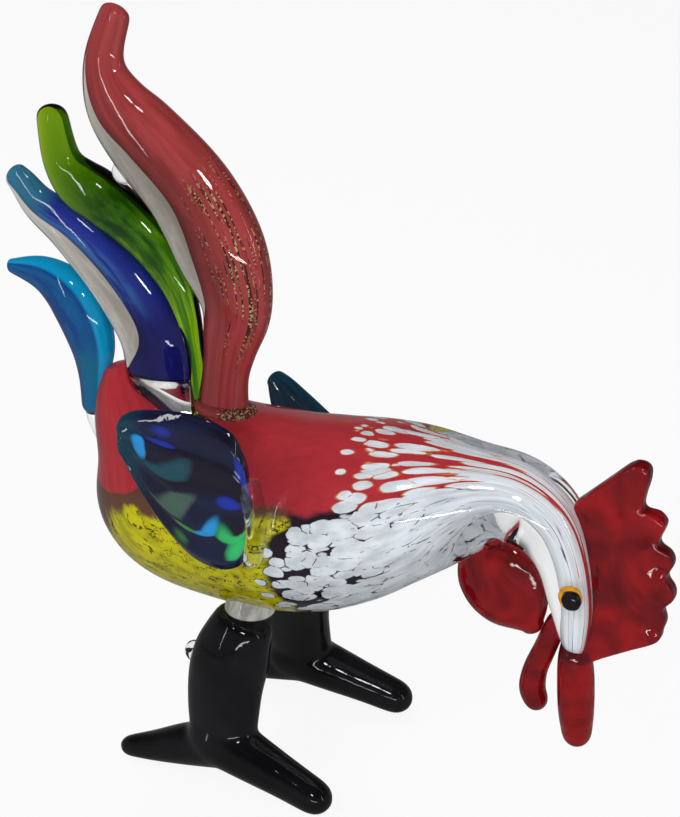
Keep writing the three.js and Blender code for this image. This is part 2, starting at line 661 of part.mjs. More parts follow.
const body = group(
  piece('body_core', bodyCore, brickRed),
  piece('body_casing', bodyCasing, clearGlass),
);
const rightEye = eye(-1);
const leftEye = eye(1);
const head = group(
  piece('comb', comb, rubyGlass),
  piece('wattle', wattle, rubyGlass),
  piece('upper_beak', upperBeak, rubyGlass),
  piece('lower_beak', lowerBeak, rubyGlass),
  piece('right_iris', rightEye.iris, amberGlass),
  piece('right_pupil', rightEye.pupil, blackGlass),
  piece('left_iris', leftEye.iris, amberGlass),
  piece('left_pupil', leftEye.pupil, blackGlass),
);
const tail = group(
  piece('red_feather_casing', red.casing, clearGlass),
  piece('red_feather_core', red.core, brickRed),
  piece('green_feather', green, greenGlass),
  piece('cobalt_feather_casing', cobalt.casing, clearGlass),
  piece('cobalt_feather_core', cobalt.core, cobaltGlass),
  piece('aqua_feather', aqua, aquaGlass),
  piece('red_feather_collar', redCollar, clearGlass),
  piece('cobalt_feather_foot', cobaltFoot, clearGlass),
  piece('aqua_feather_root', aquaRoot, clearGlass),
  piece('feather_bridge', bridge, clearGlass),
);
const wings = group(
  piece('right_wing', rightWing.leaf, wingGlass),
  piece('right_wing_weld', rightWing.weld, clearGlass),
  piece('left_wing', leftWing.leaf, wingGlass),
  piece('left_wing_weld', leftWing.weld, clearGlass),
);
const legs = group(
  piece('right_hip_gather', rightLeg.hip, clearGlass),
  piece('right_shin', rightLeg.shin, blackGlass),
  piece('right_foot', rightLeg.foot, blackGlass),
  piece('right_spur', rightLeg.spur, clearGlass),
  piece('left_hip_gather', leftLeg.hip, clearGlass),
  piece('left_shin', leftLeg.shin, blackGlass),
  piece('left_foot', leftLeg.foot, blackGlass),
  piece('left_spur', leftLeg.spur, clearGlass),
);

// The origin is under the middle of the whole bird.
const rooster = group(body, head, tail, wings, legs);
const middle = new THREE.Box3().setFromObject(rooster).getCenter(new THREE.Vector3());
rooster.position.set(-middle.x, -middle.y, 0);

export default group(rooster);
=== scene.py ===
"""Looks of a hot-worked glass rooster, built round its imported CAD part.

Each piece is drawn out of a disc of hot glass, ring by ring, and stands for its CAD node.
Metres: +X is the way the bird faces, +Y its left, +Z up. It stands on z = 0.
"""

import math
from typing import NamedTuple

import bpy
from bpy.props import FloatProperty, FloatVectorProperty, IntProperty, PointerProperty
from mathutils import Euler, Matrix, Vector
from mathutils.geometry import interpolate_bezier
from mathutils.kdtree import KDTree


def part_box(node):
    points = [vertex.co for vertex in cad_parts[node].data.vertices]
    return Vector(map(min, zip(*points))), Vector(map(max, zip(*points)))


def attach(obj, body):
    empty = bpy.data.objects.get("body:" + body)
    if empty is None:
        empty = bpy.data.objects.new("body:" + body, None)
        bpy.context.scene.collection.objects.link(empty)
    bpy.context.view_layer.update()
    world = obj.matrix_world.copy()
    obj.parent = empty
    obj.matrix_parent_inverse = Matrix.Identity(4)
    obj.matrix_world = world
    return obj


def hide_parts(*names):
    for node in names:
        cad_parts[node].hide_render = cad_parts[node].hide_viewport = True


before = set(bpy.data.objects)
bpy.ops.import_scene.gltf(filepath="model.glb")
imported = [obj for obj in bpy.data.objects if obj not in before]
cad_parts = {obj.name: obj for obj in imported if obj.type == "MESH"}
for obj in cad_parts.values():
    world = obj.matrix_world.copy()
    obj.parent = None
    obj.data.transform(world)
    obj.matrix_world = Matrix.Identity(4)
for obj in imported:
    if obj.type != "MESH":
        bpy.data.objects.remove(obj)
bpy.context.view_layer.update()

bl_info = {
    "name": "Glass Rooster",
    "version": (1, 0, 0),
    "blender": (4, 5, 0),
    "location": "3D View > Sidebar > Rooster",
    "description": "Draws a hot-worked glass rooster, piece by piece, over its CAD frame",
    "category": "Add Mesh",
}

# The bird's own zero, on the table between its feet. Its back toes end this far behind it.
BACK_TOE_TIP = 0.04165
FOOT_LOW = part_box("right_foot")[0]
FOOT_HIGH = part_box("left_foot")[1]
ZERO = Vector((FOOT_LOW.x + BACK_TOE_TIP, (FOOT_LOW.y + FOOT_HIGH.y) / 2, 0))

# Attribute on every drawn piece: across, through and along it, before it was drawn out
DRAWN = "drawn"
# Angles of the rings that round off the end of a drawn piece
DOME = [math.radians(bend) for bend in (30, 58, 80)]
# Subdivision of every drawn piece
LEVELS = 2
# A cut shows as a sharp edge from this angle on.
CUT_ANGLE = math.radians(40)


def length(name, description, default):
    """A size in metres that shows in scene units."""
    return FloatProperty(name=name, description=description, default=default, min=0, unit="LENGTH")


def angle(name, description, degrees):
    """A turn that shows in degrees."""
    return FloatProperty(
        name=name, description=description, default=math.radians(degrees), subtype="ANGLE"
    )


def colour(name, description, default):
    """A colour of glass."""
    return FloatVectorProperty(
        name=name, description=description, default=default, size=3, min=0, max=1, subtype="COLOR"
    )


def power(name, description, default):
    """A lamp's power."""
    return FloatProperty(name=name, description=description, default=default, min=0, unit="POWER")


class RoosterBodySizes(bpy.types.PropertyGroup):
    """Sizes of the gather that makes body, neck and head, and of what is set on the head."""

    height: length("Body height", "Table to the centre line over the legs", 0.089)
    radius: length("Body radius", "Thickest place, just behind the legs", 0.0335)
    stub_back: length("Stub back", "Cut end of the gather, behind the legs", 0.053)
    stub_rise: length("Stub rise", "Cut end above the centre line", 0.040)
    stub_radius: length("Stub radius", "Radius of the cut end", 0.006)
    neck_reach: length("Neck reach", "Top of the bend, ahead of the legs", 0.088)
    neck_rise: length("Neck rise", "Top of the bend above the centre line", 0.023)
    neck_radius: length("Neck radius", "Radius at the top of the bend", 0.0142)
    head_forward: length("Head forward", "End of the head ahead of the bend", 0.021)
    head_drop: length("Head drop", "End of the head below the bend", 0.0495)
    head_radius: length("Head radius", "Radius at the eyes", 0.0082)
    head_tip: length("Head tip radius", "Radius where the beak starts", 0.0035)
    wall: length("Casing", "Clear glass over the coloured core, at the thickest place", 0.0110)
    neck_rim: length("Neck rim", "Clear glass on the outer side of the bend", 0.0055)
    neck_clear: length("Clear throat", "Clear glass on the inner side of the bend", 0.0114)
    head_clear: length("Clear chin", "Clear glass on the throat side of the head", 0.0056)
    comb_reach: length("Comb reach", "Head centre to the scallop tips", 0.0334)
    comb_horn: length("Comb horn", "Extra height of the rear horn", 0.0125)
    comb_lobes: IntProperty(name="Comb lobes", description="Scallops of the comb", default=5, min=2)
    comb_pitch: angle("Comb pitch", "Turn from one scallop to the next", 21)
    comb_top: angle("Comb top", "Rear horn above level", 62)
    comb_notch: length("Comb notch", "Depth between two scallops", 0.0026)
    comb_thickness: length("Comb thickness", "Thickness of the comb", 0.0075)
    wattle_width: length("Wattle width", "Width of the wattle", 0.030)
    wattle_length: length("Wattle length", "Length of the wattle", 0.033)
    wattle_thickness: length("Wattle thickness", "Thickness of the wattle", 0.010)
    upper_beak_length: length("Upper beak length", "Head to the upper beak's tip", 0.033)
    upper_beak_width: length("Upper beak width", "Thickness of the upper beak", 0.0116)
    lower_beak_length: length("Lower beak length", "Head to the lower beak's tip", 0.028)
    lower_beak_width: length("Lower beak width", "Thickness of the lower beak", 0.0082)
    iris_radius: length("Iris radius", "Amber bead of an eye", 0.0041)
    iris_bulge: length("Iris bulge", "Half thickness of the amber bead", 0.002)
    pupil_radius: length("Pupil radius", "Black bead of an eye", 0.0033)
    pupil_ahead: length("Pupil ahead", "Black bead ahead of the amber one", 0.0009)


class RoosterTailSizes(bpy.types.PropertyGroup):
    """Sizes of the four tail feathers and of what ties them on."""

    red_height: length("Red height", "Root to tip of the red feather", 0.128)
    red_lean: length("Red lean", "How far back the red feather reaches", 0.040)
    red_width: length("Red width", "Width of the red feather", 0.032)
    red_thickness: length("Red thickness", "Thickness of the red feather", 0.019)
    red_clear: length("Red margin", "Clear glass behind its core, at the thickest place", 0.010)
    green_height: length("Green height", "Root to tip of the green feather", 0.092)
    green_lean: length("Green lean", "How far back the green feather reaches", 0.0515)
    green_width: length("Green width", "Width of the green feather", 0.0196)
    green_thickness: length("Green thickness", "Thickness of the green feather", 0.014)
    cobalt_height: length("Cobalt height", "Root to tip of the cobalt feather", 0.073)
    cobalt_lean: length("Cobalt lean", "How far back the cobalt feather reaches", 0.054)
    cobalt_width: length("Cobalt width", "Width of the cobalt feather", 0.027)
    cobalt_thickness: length("Cobalt thickness", "Thickness of the cobalt feather", 0.0145)
    cobalt_clear: length("Cobalt margin", "Clear glass behind its core, at the thickest place", 0.010)
    aqua_height: length("Aqua height", "Root to tip of the aqua feather", 0.044)
    aqua_lean: length("Aqua lean", "How far back the aqua feather reaches", 0.027)
    aqua_width: length("Aqua width", "Width of the aqua feather", 0.0196)
    aqua_thickness: length("Aqua thickness", "Thickness of the aqua feather", 0.013)
    wall: length("Feather casing", "Clear glass over a feather's core", 0.0012)
    collar_width: length("Collar width", "Collar outside the red feather's root", 0.0018)
    collar_height: length("Collar height", "Height of the collar", 0.0024)
    collar_rise: length("Collar rise", "Collar above the root", 0.0025)
    bridge_radius: length("Bridge radius", "Bead between red and green feathers", 0.0042)


class RoosterLimbSizes(bpy.types.PropertyGroup):
    """Sizes of the wings, legs and feet."""

    wing_length: length("Wing length", "Front edge to rear tip", 0.041)
    wing_depth: length("Wing depth", "Top edge to bottom edge", 0.058)
    wing_thickness: length("Wing thickness", "Thickness of the pressed leaf", 0.0064)
    wing_ribs: IntProperty(name="Wing ribs", description="Raised ribs of a wing", default=5, min=1)
    wing_rib_rise: FloatProperty(
        name="Wing rib rise", description="Of the wing's thickness", default=0.3, min=0, max=1
    )
    wing_stand_off: length("Wing stand-off", "Wing middle outside the body's side", 0.003)
    wing_tilt: angle("Wing tilt", "Top edge outwards", 3)
    wing_flare: angle("Wing flare", "Rear tip outwards", 3)
    wing_rise: length("Wing rise", "Wing middle above the centre line", 0.025)
    wing_back: length("Wing back", "Wing middle behind the legs", 0.0105)
    left_wing_depth: length("Left wing depth", "The left wing is narrower", 0.027)
    left_wing_pitch: angle("Left wing pitch", "Its tip turned up", 36)
    left_wing_drop: length("Left wing drop", "And it sits lower", 0.0135)
    left_wing_ahead: length("Left wing ahead", "And further ahead", 0.008)
    tag_radius: length("Wing tag radius", "Clear tag at the front edge", 0.0028)
    stance: length("Stance", "Between the middles of the feet", 0.059)
    hip_spread: length("Hip spread", "Between the leg tops", 0.039)
    leg_width: length("Leg width", "Fore and aft, at the shin", 0.026)
    leg_thickness: length("Leg thickness", "Across, at the shin", 0.018)
    hip_depth: length("Hip depth", "Clear gather under the belly", 0.007)
    hip_width: length("Hip width", "Width of that gather", 0.017)
    hip_ahead: length("Hip ahead", "Leg tops ahead of the feet", 0.0035)
    knee_back: length("Knee back", "Bow of the shin", 0.0036)
    front_toe: length("Front toe", "Ankle to the front toe's tip", 0.041)
    back_toe: length("Back toe", "Ankle to the back toe's tip", 0.040)
    toe_radius: length("Toe radius", "Front toe at its end", 0.006)
    back_toe_radius: length("Back toe radius", "Back toe at its end", 0.0038)
    ankle_height: length("Ankle height", "Table to the ankle", 0.0165)
    toe_out: length("Toe out", "Front toe tip outside its ankle", 0.0035)
    pad_depth: length("Pad depth", "Flat where a toe meets the table", 0.0006)
    spur_radius: length("Spur radius", "Bead at the back of the shin", 0.0034)


class RoosterColours(bpy.types.PropertyGroup):
    """Colours of the glass."""

    body_red: colour("Body red", "Back of the bird", (0.47, 0.034, 0.045))
    chip_white: colour("Chip white", "Chips on neck and breast", (0.80, 0.85, 0.91))
    chip_orange: colour("Chip edge", "Edges of the chips on red", (0.55, 0.16, 0.04))
    breast_dark: colour("Breast dark", "Ground under the breast's chips", (0.012, 0.006, 0.014))
    belly_yellow: colour("Belly yellow", "Chips under the tail", (0.66, 0.60, 0.003))
    belly_brown: colour("Belly brown", "Cracks between yellow chips", (0.035, 0.02, 0.004))
    belly_haze: colour("Belly haze", "Between red and yellow", (0.13, 0.05, 0.03))
    feather_red: colour("Feather red", "Core of the red feather", (0.46, 0.066, 0.07))
    fleck_gold: colour("Gold fleck", "Flecks in the red feather", (0.62, 0.45, 0.22))
    fleck_dark: colour("Dark streak", "Streaks that carry the flecks", (0.045, 0.018, 0.014))
    collar_ground: colour("Collar ground", "Glass that carries the collar's flecks", (0.16, 0.035, 0.03))
    ruby: colour("Ruby", "Depth of comb, wattle and beak", (0.94, 0.06, 0.08))
    ruby_deep: colour("Ruby deep", "Darker red of comb, wattle and beak", (0.13, 0.004, 0.01))
    ruby_glow: colour("Ruby glow", "Paler red of comb, wattle and beak", (0.36, 0.012, 0.018))
    green: colour("Green", "Green feather", (0.70, 0.81, 0.03))
    cobalt: colour("Cobalt", "Core of the cobalt feather", (0.02, 0.10, 0.80))
    cobalt_pale: colour("Cobalt pale", "Rear of that core", (0.12, 0.38, 0.95))
    cobalt_mid: colour("Cobalt middle", "Front of that core", (0.03, 0.06, 0.45))
    cobalt_night: colour("Cobalt night", "Lower end of that core", (0.02, 0.02, 0.24))
    cobalt_tip: colour("Cobalt tip", "Tip of that core", (0.06, 0.33, 0.48))
    aqua: colour("Aqua", "Depth of the aqua feather", (0.01, 0.68, 0.87))
    aqua_blue: colour("Aqua blue", "Paler streaks of the aqua feather", (0.006, 0.15, 0.38))
    aqua_deep: colour("Aqua deep", "Darker streaks of the aqua feather", (0.004, 0.08, 0.27))
    aqua_teal: colour("Aqua teal", "Lower half of the aqua feather", (0.006, 0.18, 0.32))
    # Painted shade along the aqua feather's lower edge and painted light along its upper edge, where its
    # facets bend the light.
    aqua_painted_dark_edge: colour("Aqua night", "Lower edge of the aqua feather", (0.004, 0.035, 0.2))
    aqua_painted_bright_edge: colour("Aqua bright", "Upper edge of the aqua feather", (0.005, 0.5, 0.8))
    wing: colour("Wing glass", "Depth of the wings", (0.02, 0.42, 0.65))
    wing_night: colour("Wing night", "Darkest streaks of the wings", (0.012, 0.009, 0.024))
    wing_deep: colour("Wing deep", "Paler streaks of the wings", (0.012, 0.018, 0.065))
    # The wing lights are painted light: painted reflections off the ribs, and the red and yellow body
    # painted as seen through the glass.
    wing_painted_blue: colour("Wing blue light", "Lights in the wings", (0.03, 0.42, 0.95))
    wing_painted_royal: colour("Wing royal light", "Lights in the wings", (0.02, 0.05, 0.5))
    wing_painted_teal: colour("Wing teal light", "Lights in the wings", (0.018, 0.102, 0.144))
    wing_tip: colour("Wing tip", "Rear tips of the wings", (0.01, 0.06, 0.1))
    wing_painted_haze: colour("Wing grey light", "Lights in the wings", (0.094, 0.173, 0.137))
    wing_painted_leaf: colour("Wing leaf light", "Lights in the wings", (0.07, 0.33, 0.09))
    wing_painted_green: colour("Wing green light", "Lights in the wings", (0.05, 0.7, 0.22))
    clear: colour("Clear", "Body casing, tags and gathers", (0.80, 0.81, 0.82))
    smoky: colour("Smoky", "Casings of the feathers", (0.80, 0.785, 0.765))
    black: colour("Black", "Legs, feet and pupils", (0.003, 0.003, 0.004))
    amber: colour("Amber", "Irises", (0.80, 0.36, 0.012))


class RoosterStageSettings(bpy.types.PropertyGroup):
    """Camera, light and floor."""

    lens: FloatProperty(
        name="Lens", description="Focal length in millimetres", default=102.18, min=1
    )
    floor: colour("Floor", "Plain pale floor", (0.90, 0.90, 0.90))
    key_power: power("Key", "Main lamp", 3.2)
    fill_power: power("Fill", "Side lamp", 1.4)
    top_power: power("Top", "Lamp above", 2.4)
    sparkle_power: power("Sparkle", "Small bright lamps", 0.4)


# Lines and rings


class Station(NamedTuple):
    """A place on a drawn piece's line, with its half width in the line's plane and across it."""

    at: Vector
    wide: float
    thick: float


class Ring(NamedTuple):
    """A section of a drawn piece. Its turn is about Y, from up towards the front."""

    centre: Vector
    wide: float
    thick: float
    turn: float

    @property
    def axis(self):
        return Vector((math.sin(self.turn), 0, math.cos(self.turn)))

    @property
    def outward(self):
        return Vector((-math.cos(self.turn), 0, math.sin(self.turn)))


def mix(start, end, share):
    """A number between two others."""
    return start + (end - start) * share


def spot(x, z, y=0.0):
    """A place on the bird, from its own zero."""
    return ZERO + Vector((x, y, z))


def smooth_through(points, steps):
    """Points on a smooth line through the given ones."""
    ends = [points[0], *points, points[-1]]
    line = []
    for before, start, end, after in zip(ends, ends[1:], ends[2:], ends[3:]):
        leave = start + (end - before) / 6
        arrive = end - (after - start) / 6
        line += interpolate_bezier(start, leave, arrive, end, steps + 1)[:-1]
    return [*line, points[-1]]


def turns_along(points):
    """The turn of a section at each point of a line."""
    turns = []
    for before, after in zip([points[0], *points], [*points[1:], points[-1]]):
        along = after - before
        turns.append(math.atan2(along.x, along.z))
    return turns


def rings_along(stations, steps, turn, start_dome, end_dome):
    """The rings of a drawn piece, with those that round off its ends."""
    points = smooth_through([s.at for s in stations], steps)
    sizes = smooth_through([Vector((s.wide, s.thick, 0)) for s in stations], steps)
    turns = turns_along(points) if turn is None else [turn] * len(points)
    body = [Ring(p, s.x, s.y, t) for p, s, t in zip(points, sizes, turns)]

    def dome(ring, height, bend):
        shrink = math.cos(bend)
        centre = ring.centre + ring.axis * height * math.sin(bend)
        return Ring(centre, ring.wide * shrink, ring.thick * shrink, ring.turn)

    first, last = body[0], body[-1]
    start = [dome(first, -start_dome * min(first.wide, first.thick), b) for b in reversed(DOME)]
    end = [dome(last, end_dome * min(last.wide, last.thick), b) for b in DOME]
    return [*start, *body, *end]


# Modelling


def clear_selection():
    """Leaves nothing selected, so that an operator only acts on the new piece."""
    bpy.ops.object.select_all(action="DESELECT")


def pick(piece):
    """Leaves one piece selected and active."""
    clear_selection()
    piece.select_set(True)
    bpy.context.view_layer.objects.active = piece


def apply_modifier(piece, kind, **settings):
    """Adds a modifier to the active piece and applies it."""
    modifier = piece.modifiers.new(kind.title(), kind)
    for name, value in settings.items():
        setattr(modifier, name, value)
    bpy.ops.object.modifier_apply(modifier=modifier.name)


def move_ring(ring, last):
    """Takes the selected ring, which has been moved from the last one, to its size and turn."""
    centre = ring.centre
    bpy.ops.transform.rotate(value=last.turn, orient_axis="Y", center_override=centre)
    bpy.ops.transform.resize(
        value=(ring.wide / last.wide, ring.thick / last.thick, 1), center_override=centre
    )
    bpy.ops.transform.rotate(value=-ring.turn, orient_axis="Y", center_override=centre)


def remember_drawing(piece, rings, gather, sides):
    """Stores where each vertex lay in the gather before that was drawn out to this shape."""
    widest = max(ring.wide for ring in gather)
    along = 0.0
    places = []
    vertices = piece.data.vertices
    for i, ring in enumerate(rings):
        if i:
            step = (gather[i].centre - gather[i - 1].centre).length
            along += step * (gather[i].wide / widest) ** 2 / widest
        for vertex in vertices[i * sides : (i + 1) * sides]:
            arm = vertex.co - ring.centre
            turn = math.atan2(arm.y / ring.thick, arm.dot(ring.outward) / ring.wide)
            places += (math.cos(turn), math.sin(turn), along)
    attribute = piece.data.attributes.new(DRAWN, "FLOAT_VECTOR", "POINT")
    attribute.data.foreach_set("vector", places)


def press_ribs(ribs, rise):
    """Flattens the starting disc's faces and presses the grooves between the ribs into it."""
    mesh = bpy.context.edit_object.data
    bpy.ops.mesh.select_all(action="DESELECT")
    bpy.ops.object.mode_set(mode="OBJECT")
    columns = sorted({round(vertex.co.x, 4) for vertex in mesh.vertices})
    for column in columns[1:-1]:
        for vertex in mesh.vertices:
            vertex.select = abs(vertex.co.x - column) < 0.001
        flat = math.sqrt((1 - column**4) / (1 - column**2))
        rib = 1 + rise * math.cos(math.pi * ribs * column)
        bpy.ops.object.mode_set(mode="EDIT")
        bpy.ops.transform.resize(value=(1, flat * rib, 1), center_override=(0, 0, 0))
        bpy.ops.mesh.select_all(action="DESELECT")
        bpy.ops.object.mode_set(mode="OBJECT")
    bpy.ops.object.mode_set(mode="EDIT")
    bpy.ops.mesh.select_all(action="SELECT")


def draw_out(stations, sides=16, steps=3, turn=None, domes=(1, 1), ribs=None, gather=None):
    """Draws a piece out of a disc, which is extruded ring by ring and smoothed.

    A core is measured along the gather that it was drawn out with.
    """
    rings = rings_along(stations, steps, turn, *domes)
    whole = rings_along(gather or stations, steps, turn, *domes)
    clear_selection()
    bpy.ops.mesh.primitive_circle_add(vertices=sides, radius=1, fill_type="NGON")
    piece = bpy.context.object
    bpy.ops.object.mode_set(mode="EDIT")
    bpy.ops.mesh.select_all(action="SELECT")
    bpy.ops.mesh.select_mode(type="VERT")
    if ribs:
        press_ribs(*ribs)
    # Subdivision draws a ring in a little, so every ring starts that much larger.
    swell = 3 / (2 + math.cos(2 * math.pi / sides))
    bpy.ops.transform.resize(value=(swell, swell, 1), center_override=(0, 0, 0))
    last = Ring(Vector(), 1, 1, 0)
    for i, ring in enumerate(rings):
        step = ring.centre - last.centre
        if i:
            bpy.ops.mesh.extrude_region_move(TRANSFORM_OT_translate={"value": step})
        else:
            bpy.ops.transform.translate(value=step)
        move_ring(ring, last)
        last = ring
    bpy.ops.mesh.select_all(action="SELECT")
    bpy.ops.mesh.normals_make_consistent(inside=False)
    bpy.ops.object.mode_set(mode="OBJECT")
    remember_drawing(piece, rings, whole, sides)
    apply_modifier(piece, "SUBSURF", levels=LEVELS, render_levels=LEVELS)
    bpy.ops.object.shade_smooth()
    return piece


def bead(centre, radius, bulge):
    """A bead pressed flat across the bird."""
    # Where its rounded ends start, as a share of the radius
    end = 0.6
    stations = []
    for level in (-end, 0, end):
        share = math.sqrt(1 - level * level)
        stations.append(Station(centre + Vector((0, 0, radius * level)), radius * share, bulge * share))
    tall = (1 - end) / math.sqrt(1 - end * end) * radius / bulge
    return draw_out(stations, steps=2, turn=0.0, domes=(tall, tall))


def melt_together(pieces, voxel, rounds):
    """Fuses overlapping pieces into one smooth body."""
    clear_selection()
    for piece in pieces:
        piece.select_set(True)
    bpy.context.view_layer.objects.active = pieces[0]
    bpy.ops.object.join()
    fused = bpy.context.object
    apply_modifier(fused, "REMESH", mode="VOXEL", voxel_size=voxel)
    apply_modifier(fused, "SMOOTH", factor=0.5, iterations=rounds)
    bpy.ops.object.shade_smooth()
    return fused


def keep_cut_sharp():
    """Marks the edges of a cut on the active piece, so that its smooth faces stay smooth."""
    bpy.ops.object.mode_set(mode="EDIT")
    bpy.ops.mesh.select_mode(type="EDGE")
    bpy.ops.mesh.select_all(action="DESELECT")
    bpy.ops.mesh.edges_select_sharp(sharpness=CUT_ANGLE)
    bpy.ops.mesh.mark_sharp()
    bpy.ops.object.mode_set(mode="OBJECT")


def cut_away(piece, height, keep_above):
    """Saws a piece level at a height and keeps one side of it."""
    pick(piece)
    bpy.ops.object.mode_set(mode="EDIT")
    bpy.ops.mesh.select_all(action="SELECT")
    bpy.ops.mesh.bisect(
        plane_co=(0, 0, height),
        plane_no=(0, 0, 1),
        use_fill=True,
        clear_inner=keep_above,
        clear_outer=not keep_above,
        threshold=1e-6,
    )
    bpy.ops.object.mode_set(mode="OBJECT")
    keep_cut_sharp()


def copy_of(piece):
    """A copy of a piece with a mesh of its own."""
    twin = piece.copy()
    twin.data = piece.data.copy()
    bpy.context.scene.collection.objects.link(twin)
    return twin


def seat_on(piece, *nodes, gap=0.0001):
    """Cuts a piece back to what it is set on, with a hair of air between them."""
    whole = piece.data.copy()
    for node in nodes:
        tool = copy_of(bpy.data.objects[f"glass_{node}"])
        pick(tool)
        apply_modifier(tool, "DISPLACE", strength=gap, mid_level=0.0)
        pick(piece)
        apply_modifier(piece, "BOOLEAN", object=tool, operation="DIFFERENCE", solver="EXACT")
        bpy.data.objects.remove(tool)
    if DRAWN in whole.attributes:
        recall_drawing(piece.data, whole)
    bpy.data.meshes.remove(whole)
    keep_cut_sharp()
    return piece


def recall_drawing(cut, whole):
    """Gives each vertex of a cut mesh the drawn place of the nearest one before the cut."""
    tree = KDTree(len(whole.vertices))
    for vertex in whole.vertices:
        tree.insert(vertex.co, vertex.index)
    tree.balance()
    drawn = whole.attributes[DRAWN].data
    places = []
    for vertex in cut.vertices:
        places.extend(drawn[tree.find(vertex.co)[1]].vector)
    cut.attributes[DRAWN].data.foreach_set("vector", places)


def settle(piece, node, slot, colours, finish=None):
    """Gives a finished piece its glass and puts it in the place of its CAD node."""
    piece.name = piece.data.name = f"glass_{node}"
    piece.data.materials.clear()
    piece.data.materials.append(glass_for(colours, finish or slot))
    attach(piece, "root")
    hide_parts(node)


# Node helpers


def put(tree, kind, sockets=None, **settings):
    """Adds a shader node, with its options, and a value or a link for each named socket."""
    node = tree.nodes.new("ShaderNode" + kind)
    for name, value in settings.items():
        setattr(node, name, value)
    for name, value in (sockets or {}).items():
        if isinstance(value, bpy.types.NodeSocket):
            tree.links.new(value, node.inputs[name])
        else:
            node.inputs[name].default_value = value
    return node


def opaque(rgb):
    """A colour as a node socket takes it."""
    return (*rgb, 1.0)


def math_node(tree, operation, first, second):
    """The value of one sum on two numbers or sockets."""
    return put(tree, "Math", {0: first, 1: second}, operation=operation).outputs[0]


def ramp_up(tree, value, low, high, to_low=0.0, to_high=1.0, smooth=True):
    """A value that rises from one level to another while its input goes from low to high."""
    sockets = {"Value": value, "From Min": low, "From Max": high, "To Min": to_low, "To Max": to_high}
    kind = "SMOOTHSTEP" if smooth else "LINEAR"
    return put(tree, "MapRange", sockets, interpolation_type=kind).outputs["Result"]


def blend(tree, share, first, second):
    """A colour between two colours or sockets."""
    sockets = {
        "Factor": share,
        6: first if isinstance(first, bpy.types.NodeSocket) else opaque(first),
        7: second if isinstance(second, bpy.types.NodeSocket) else opaque(second),
    }
    return put(tree, "Mix", sockets, data_type="RGBA").outputs[2]


def shade_of(rgb, share):
    """A colour made darker or paler."""
    return [part * share for part in rgb]


def drawn_place(tree):
    """Where a point lay in the gather before that was drawn out."""
    return put(tree, "Attribute", attribute_name=DRAWN).outputs["Vector"]


def own_place(tree):
    """Where a point lies on its piece."""
    return put(tree, "TexCoord").outputs["Object"]


def noise(tree, place, scale, detail=2.0, distortion=0.0):
    """What a noise texture puts out."""
    sockets = {"Vector": place, "Scale": scale, "Detail": detail, "Distortion": distortion}
    return put(tree, "TexNoise", sockets).outputs


def grains(tree, place, scale, feature="F1"):
    """What a texture of cells puts out."""
    return put(tree, "TexVoronoi", {"Vector": place, "Scale": scale}, feature=feature).outputs


def new_group(name, inputs, output, kind):
    """A shader node group with its input sockets and one output, its tree and its two end nodes."""
    tree = bpy.data.node_groups.new(name, "ShaderNodeTree")
    for label, default in inputs.items():
        colour_or_value = "NodeSocketColor" if isinstance(default, tuple) else "NodeSocketFloat"
        socket = tree.interface.new_socket(label, in_out="INPUT", socket_type=colour_or_value)
        socket.default_value = default
    tree.interface.new_socket(output, in_out="OUTPUT", socket_type=kind)
    return tree, tree.nodes.new("NodeGroupInput"), tree.nodes.new("NodeGroupOutput")


def hot_surface_group():
    """The slow waves and small tool marks of glass that was shaped hot, as a height."""
    name = "Hot surface"
    if name in bpy.data.node_groups:
        return bpy.data.node_groups[name]
    tree, start, end = new_group(name, {"Wave size": 60.0}, "Height", "NodeSocketFloat")
    place = own_place(tree)
    waves = noise(tree, place, start.outputs["Wave size"], detail=1.0)["Fac"]
    marks = noise(tree, place, 420.0)["Fac"]
    faint = math_node(tree, "MULTIPLY", marks, 0.06)
    tree.links.new(math_node(tree, "ADD", waves, faint), end.inputs["Height"])
    return tree


def streaks_group():
    """Streaks that run along a drawn piece, between two tints."""
    name = "Drawn streaks"
    if name in bpy.data.node_groups:
        return bpy.data.node_groups[name]
    inputs = {"Pale": (1, 1, 1, 1), "Deep": (0.5, 0.5, 0.5, 1), "Fineness": 3.0, "Stretch": 0.3}
    tree, start, end = new_group(name, inputs, "Color", "NodeSocketColor")
    stretch = put(tree, "CombineXYZ", {"X": 1.0, "Y": 1.0, "Z": start.outputs["Stretch"]}).outputs[0]
    flow = put(tree, "VectorMath", {0: drawn_place(tree), 1: stretch}, operation="MULTIPLY").outputs[0]
    lines = noise(tree, flow, start.outputs["Fineness"], detail=3.0, distortion=0.4)["Fac"]
    tint = blend(tree, ramp_up(tree, lines, 0.35, 0.65), start.outputs["Pale"], start.outputs["Deep"])
    tree.links.new(tint, end.inputs["Color"])
    return tree


def new_material(name):
    """An empty node material, its tree and its output."""
    material = bpy.data.materials.new(name)
    material.use_nodes = True
    tree = material.node_tree
    tree.nodes.clear()
    return material, tree, tree.nodes.new("ShaderNodeOutputMaterial")


def hot_normal(tree, wave_size=60.0, depth=0.0006):
    """The waves of hot-worked glass as a normal."""
    waves = put(tree, "Group", {"Wave size": wave_size}, node_tree=hot_surface_group())
    height = waves.outputs["Height"]
    return put(tree, "Bump", {"Height": height, "Strength": 0.5, "Distance": depth}).outputs["Normal"]


def streaky(pale, deep, fineness=2.5, stretch=0.35):
    """A tint with streaks along the piece."""
    sockets = {"Pale": opaque(pale), "Deep": opaque(deep), "Fineness": fineness, "Stretch": stretch}
    return lambda tree: put(tree, "Group", sockets, node_tree=streaks_group()).outputs["Color"]


def turning(tint, axis, start, end, rgb):
    """A tint that turns to a colour on the way across, through or along the piece."""

    def build(tree):
        part = put(tree, "SeparateXYZ", {0: drawn_place(tree)}).outputs[axis]
        return blend(tree, ramp_up(tree, part, start, end), tint(tree), rgb)

    return build


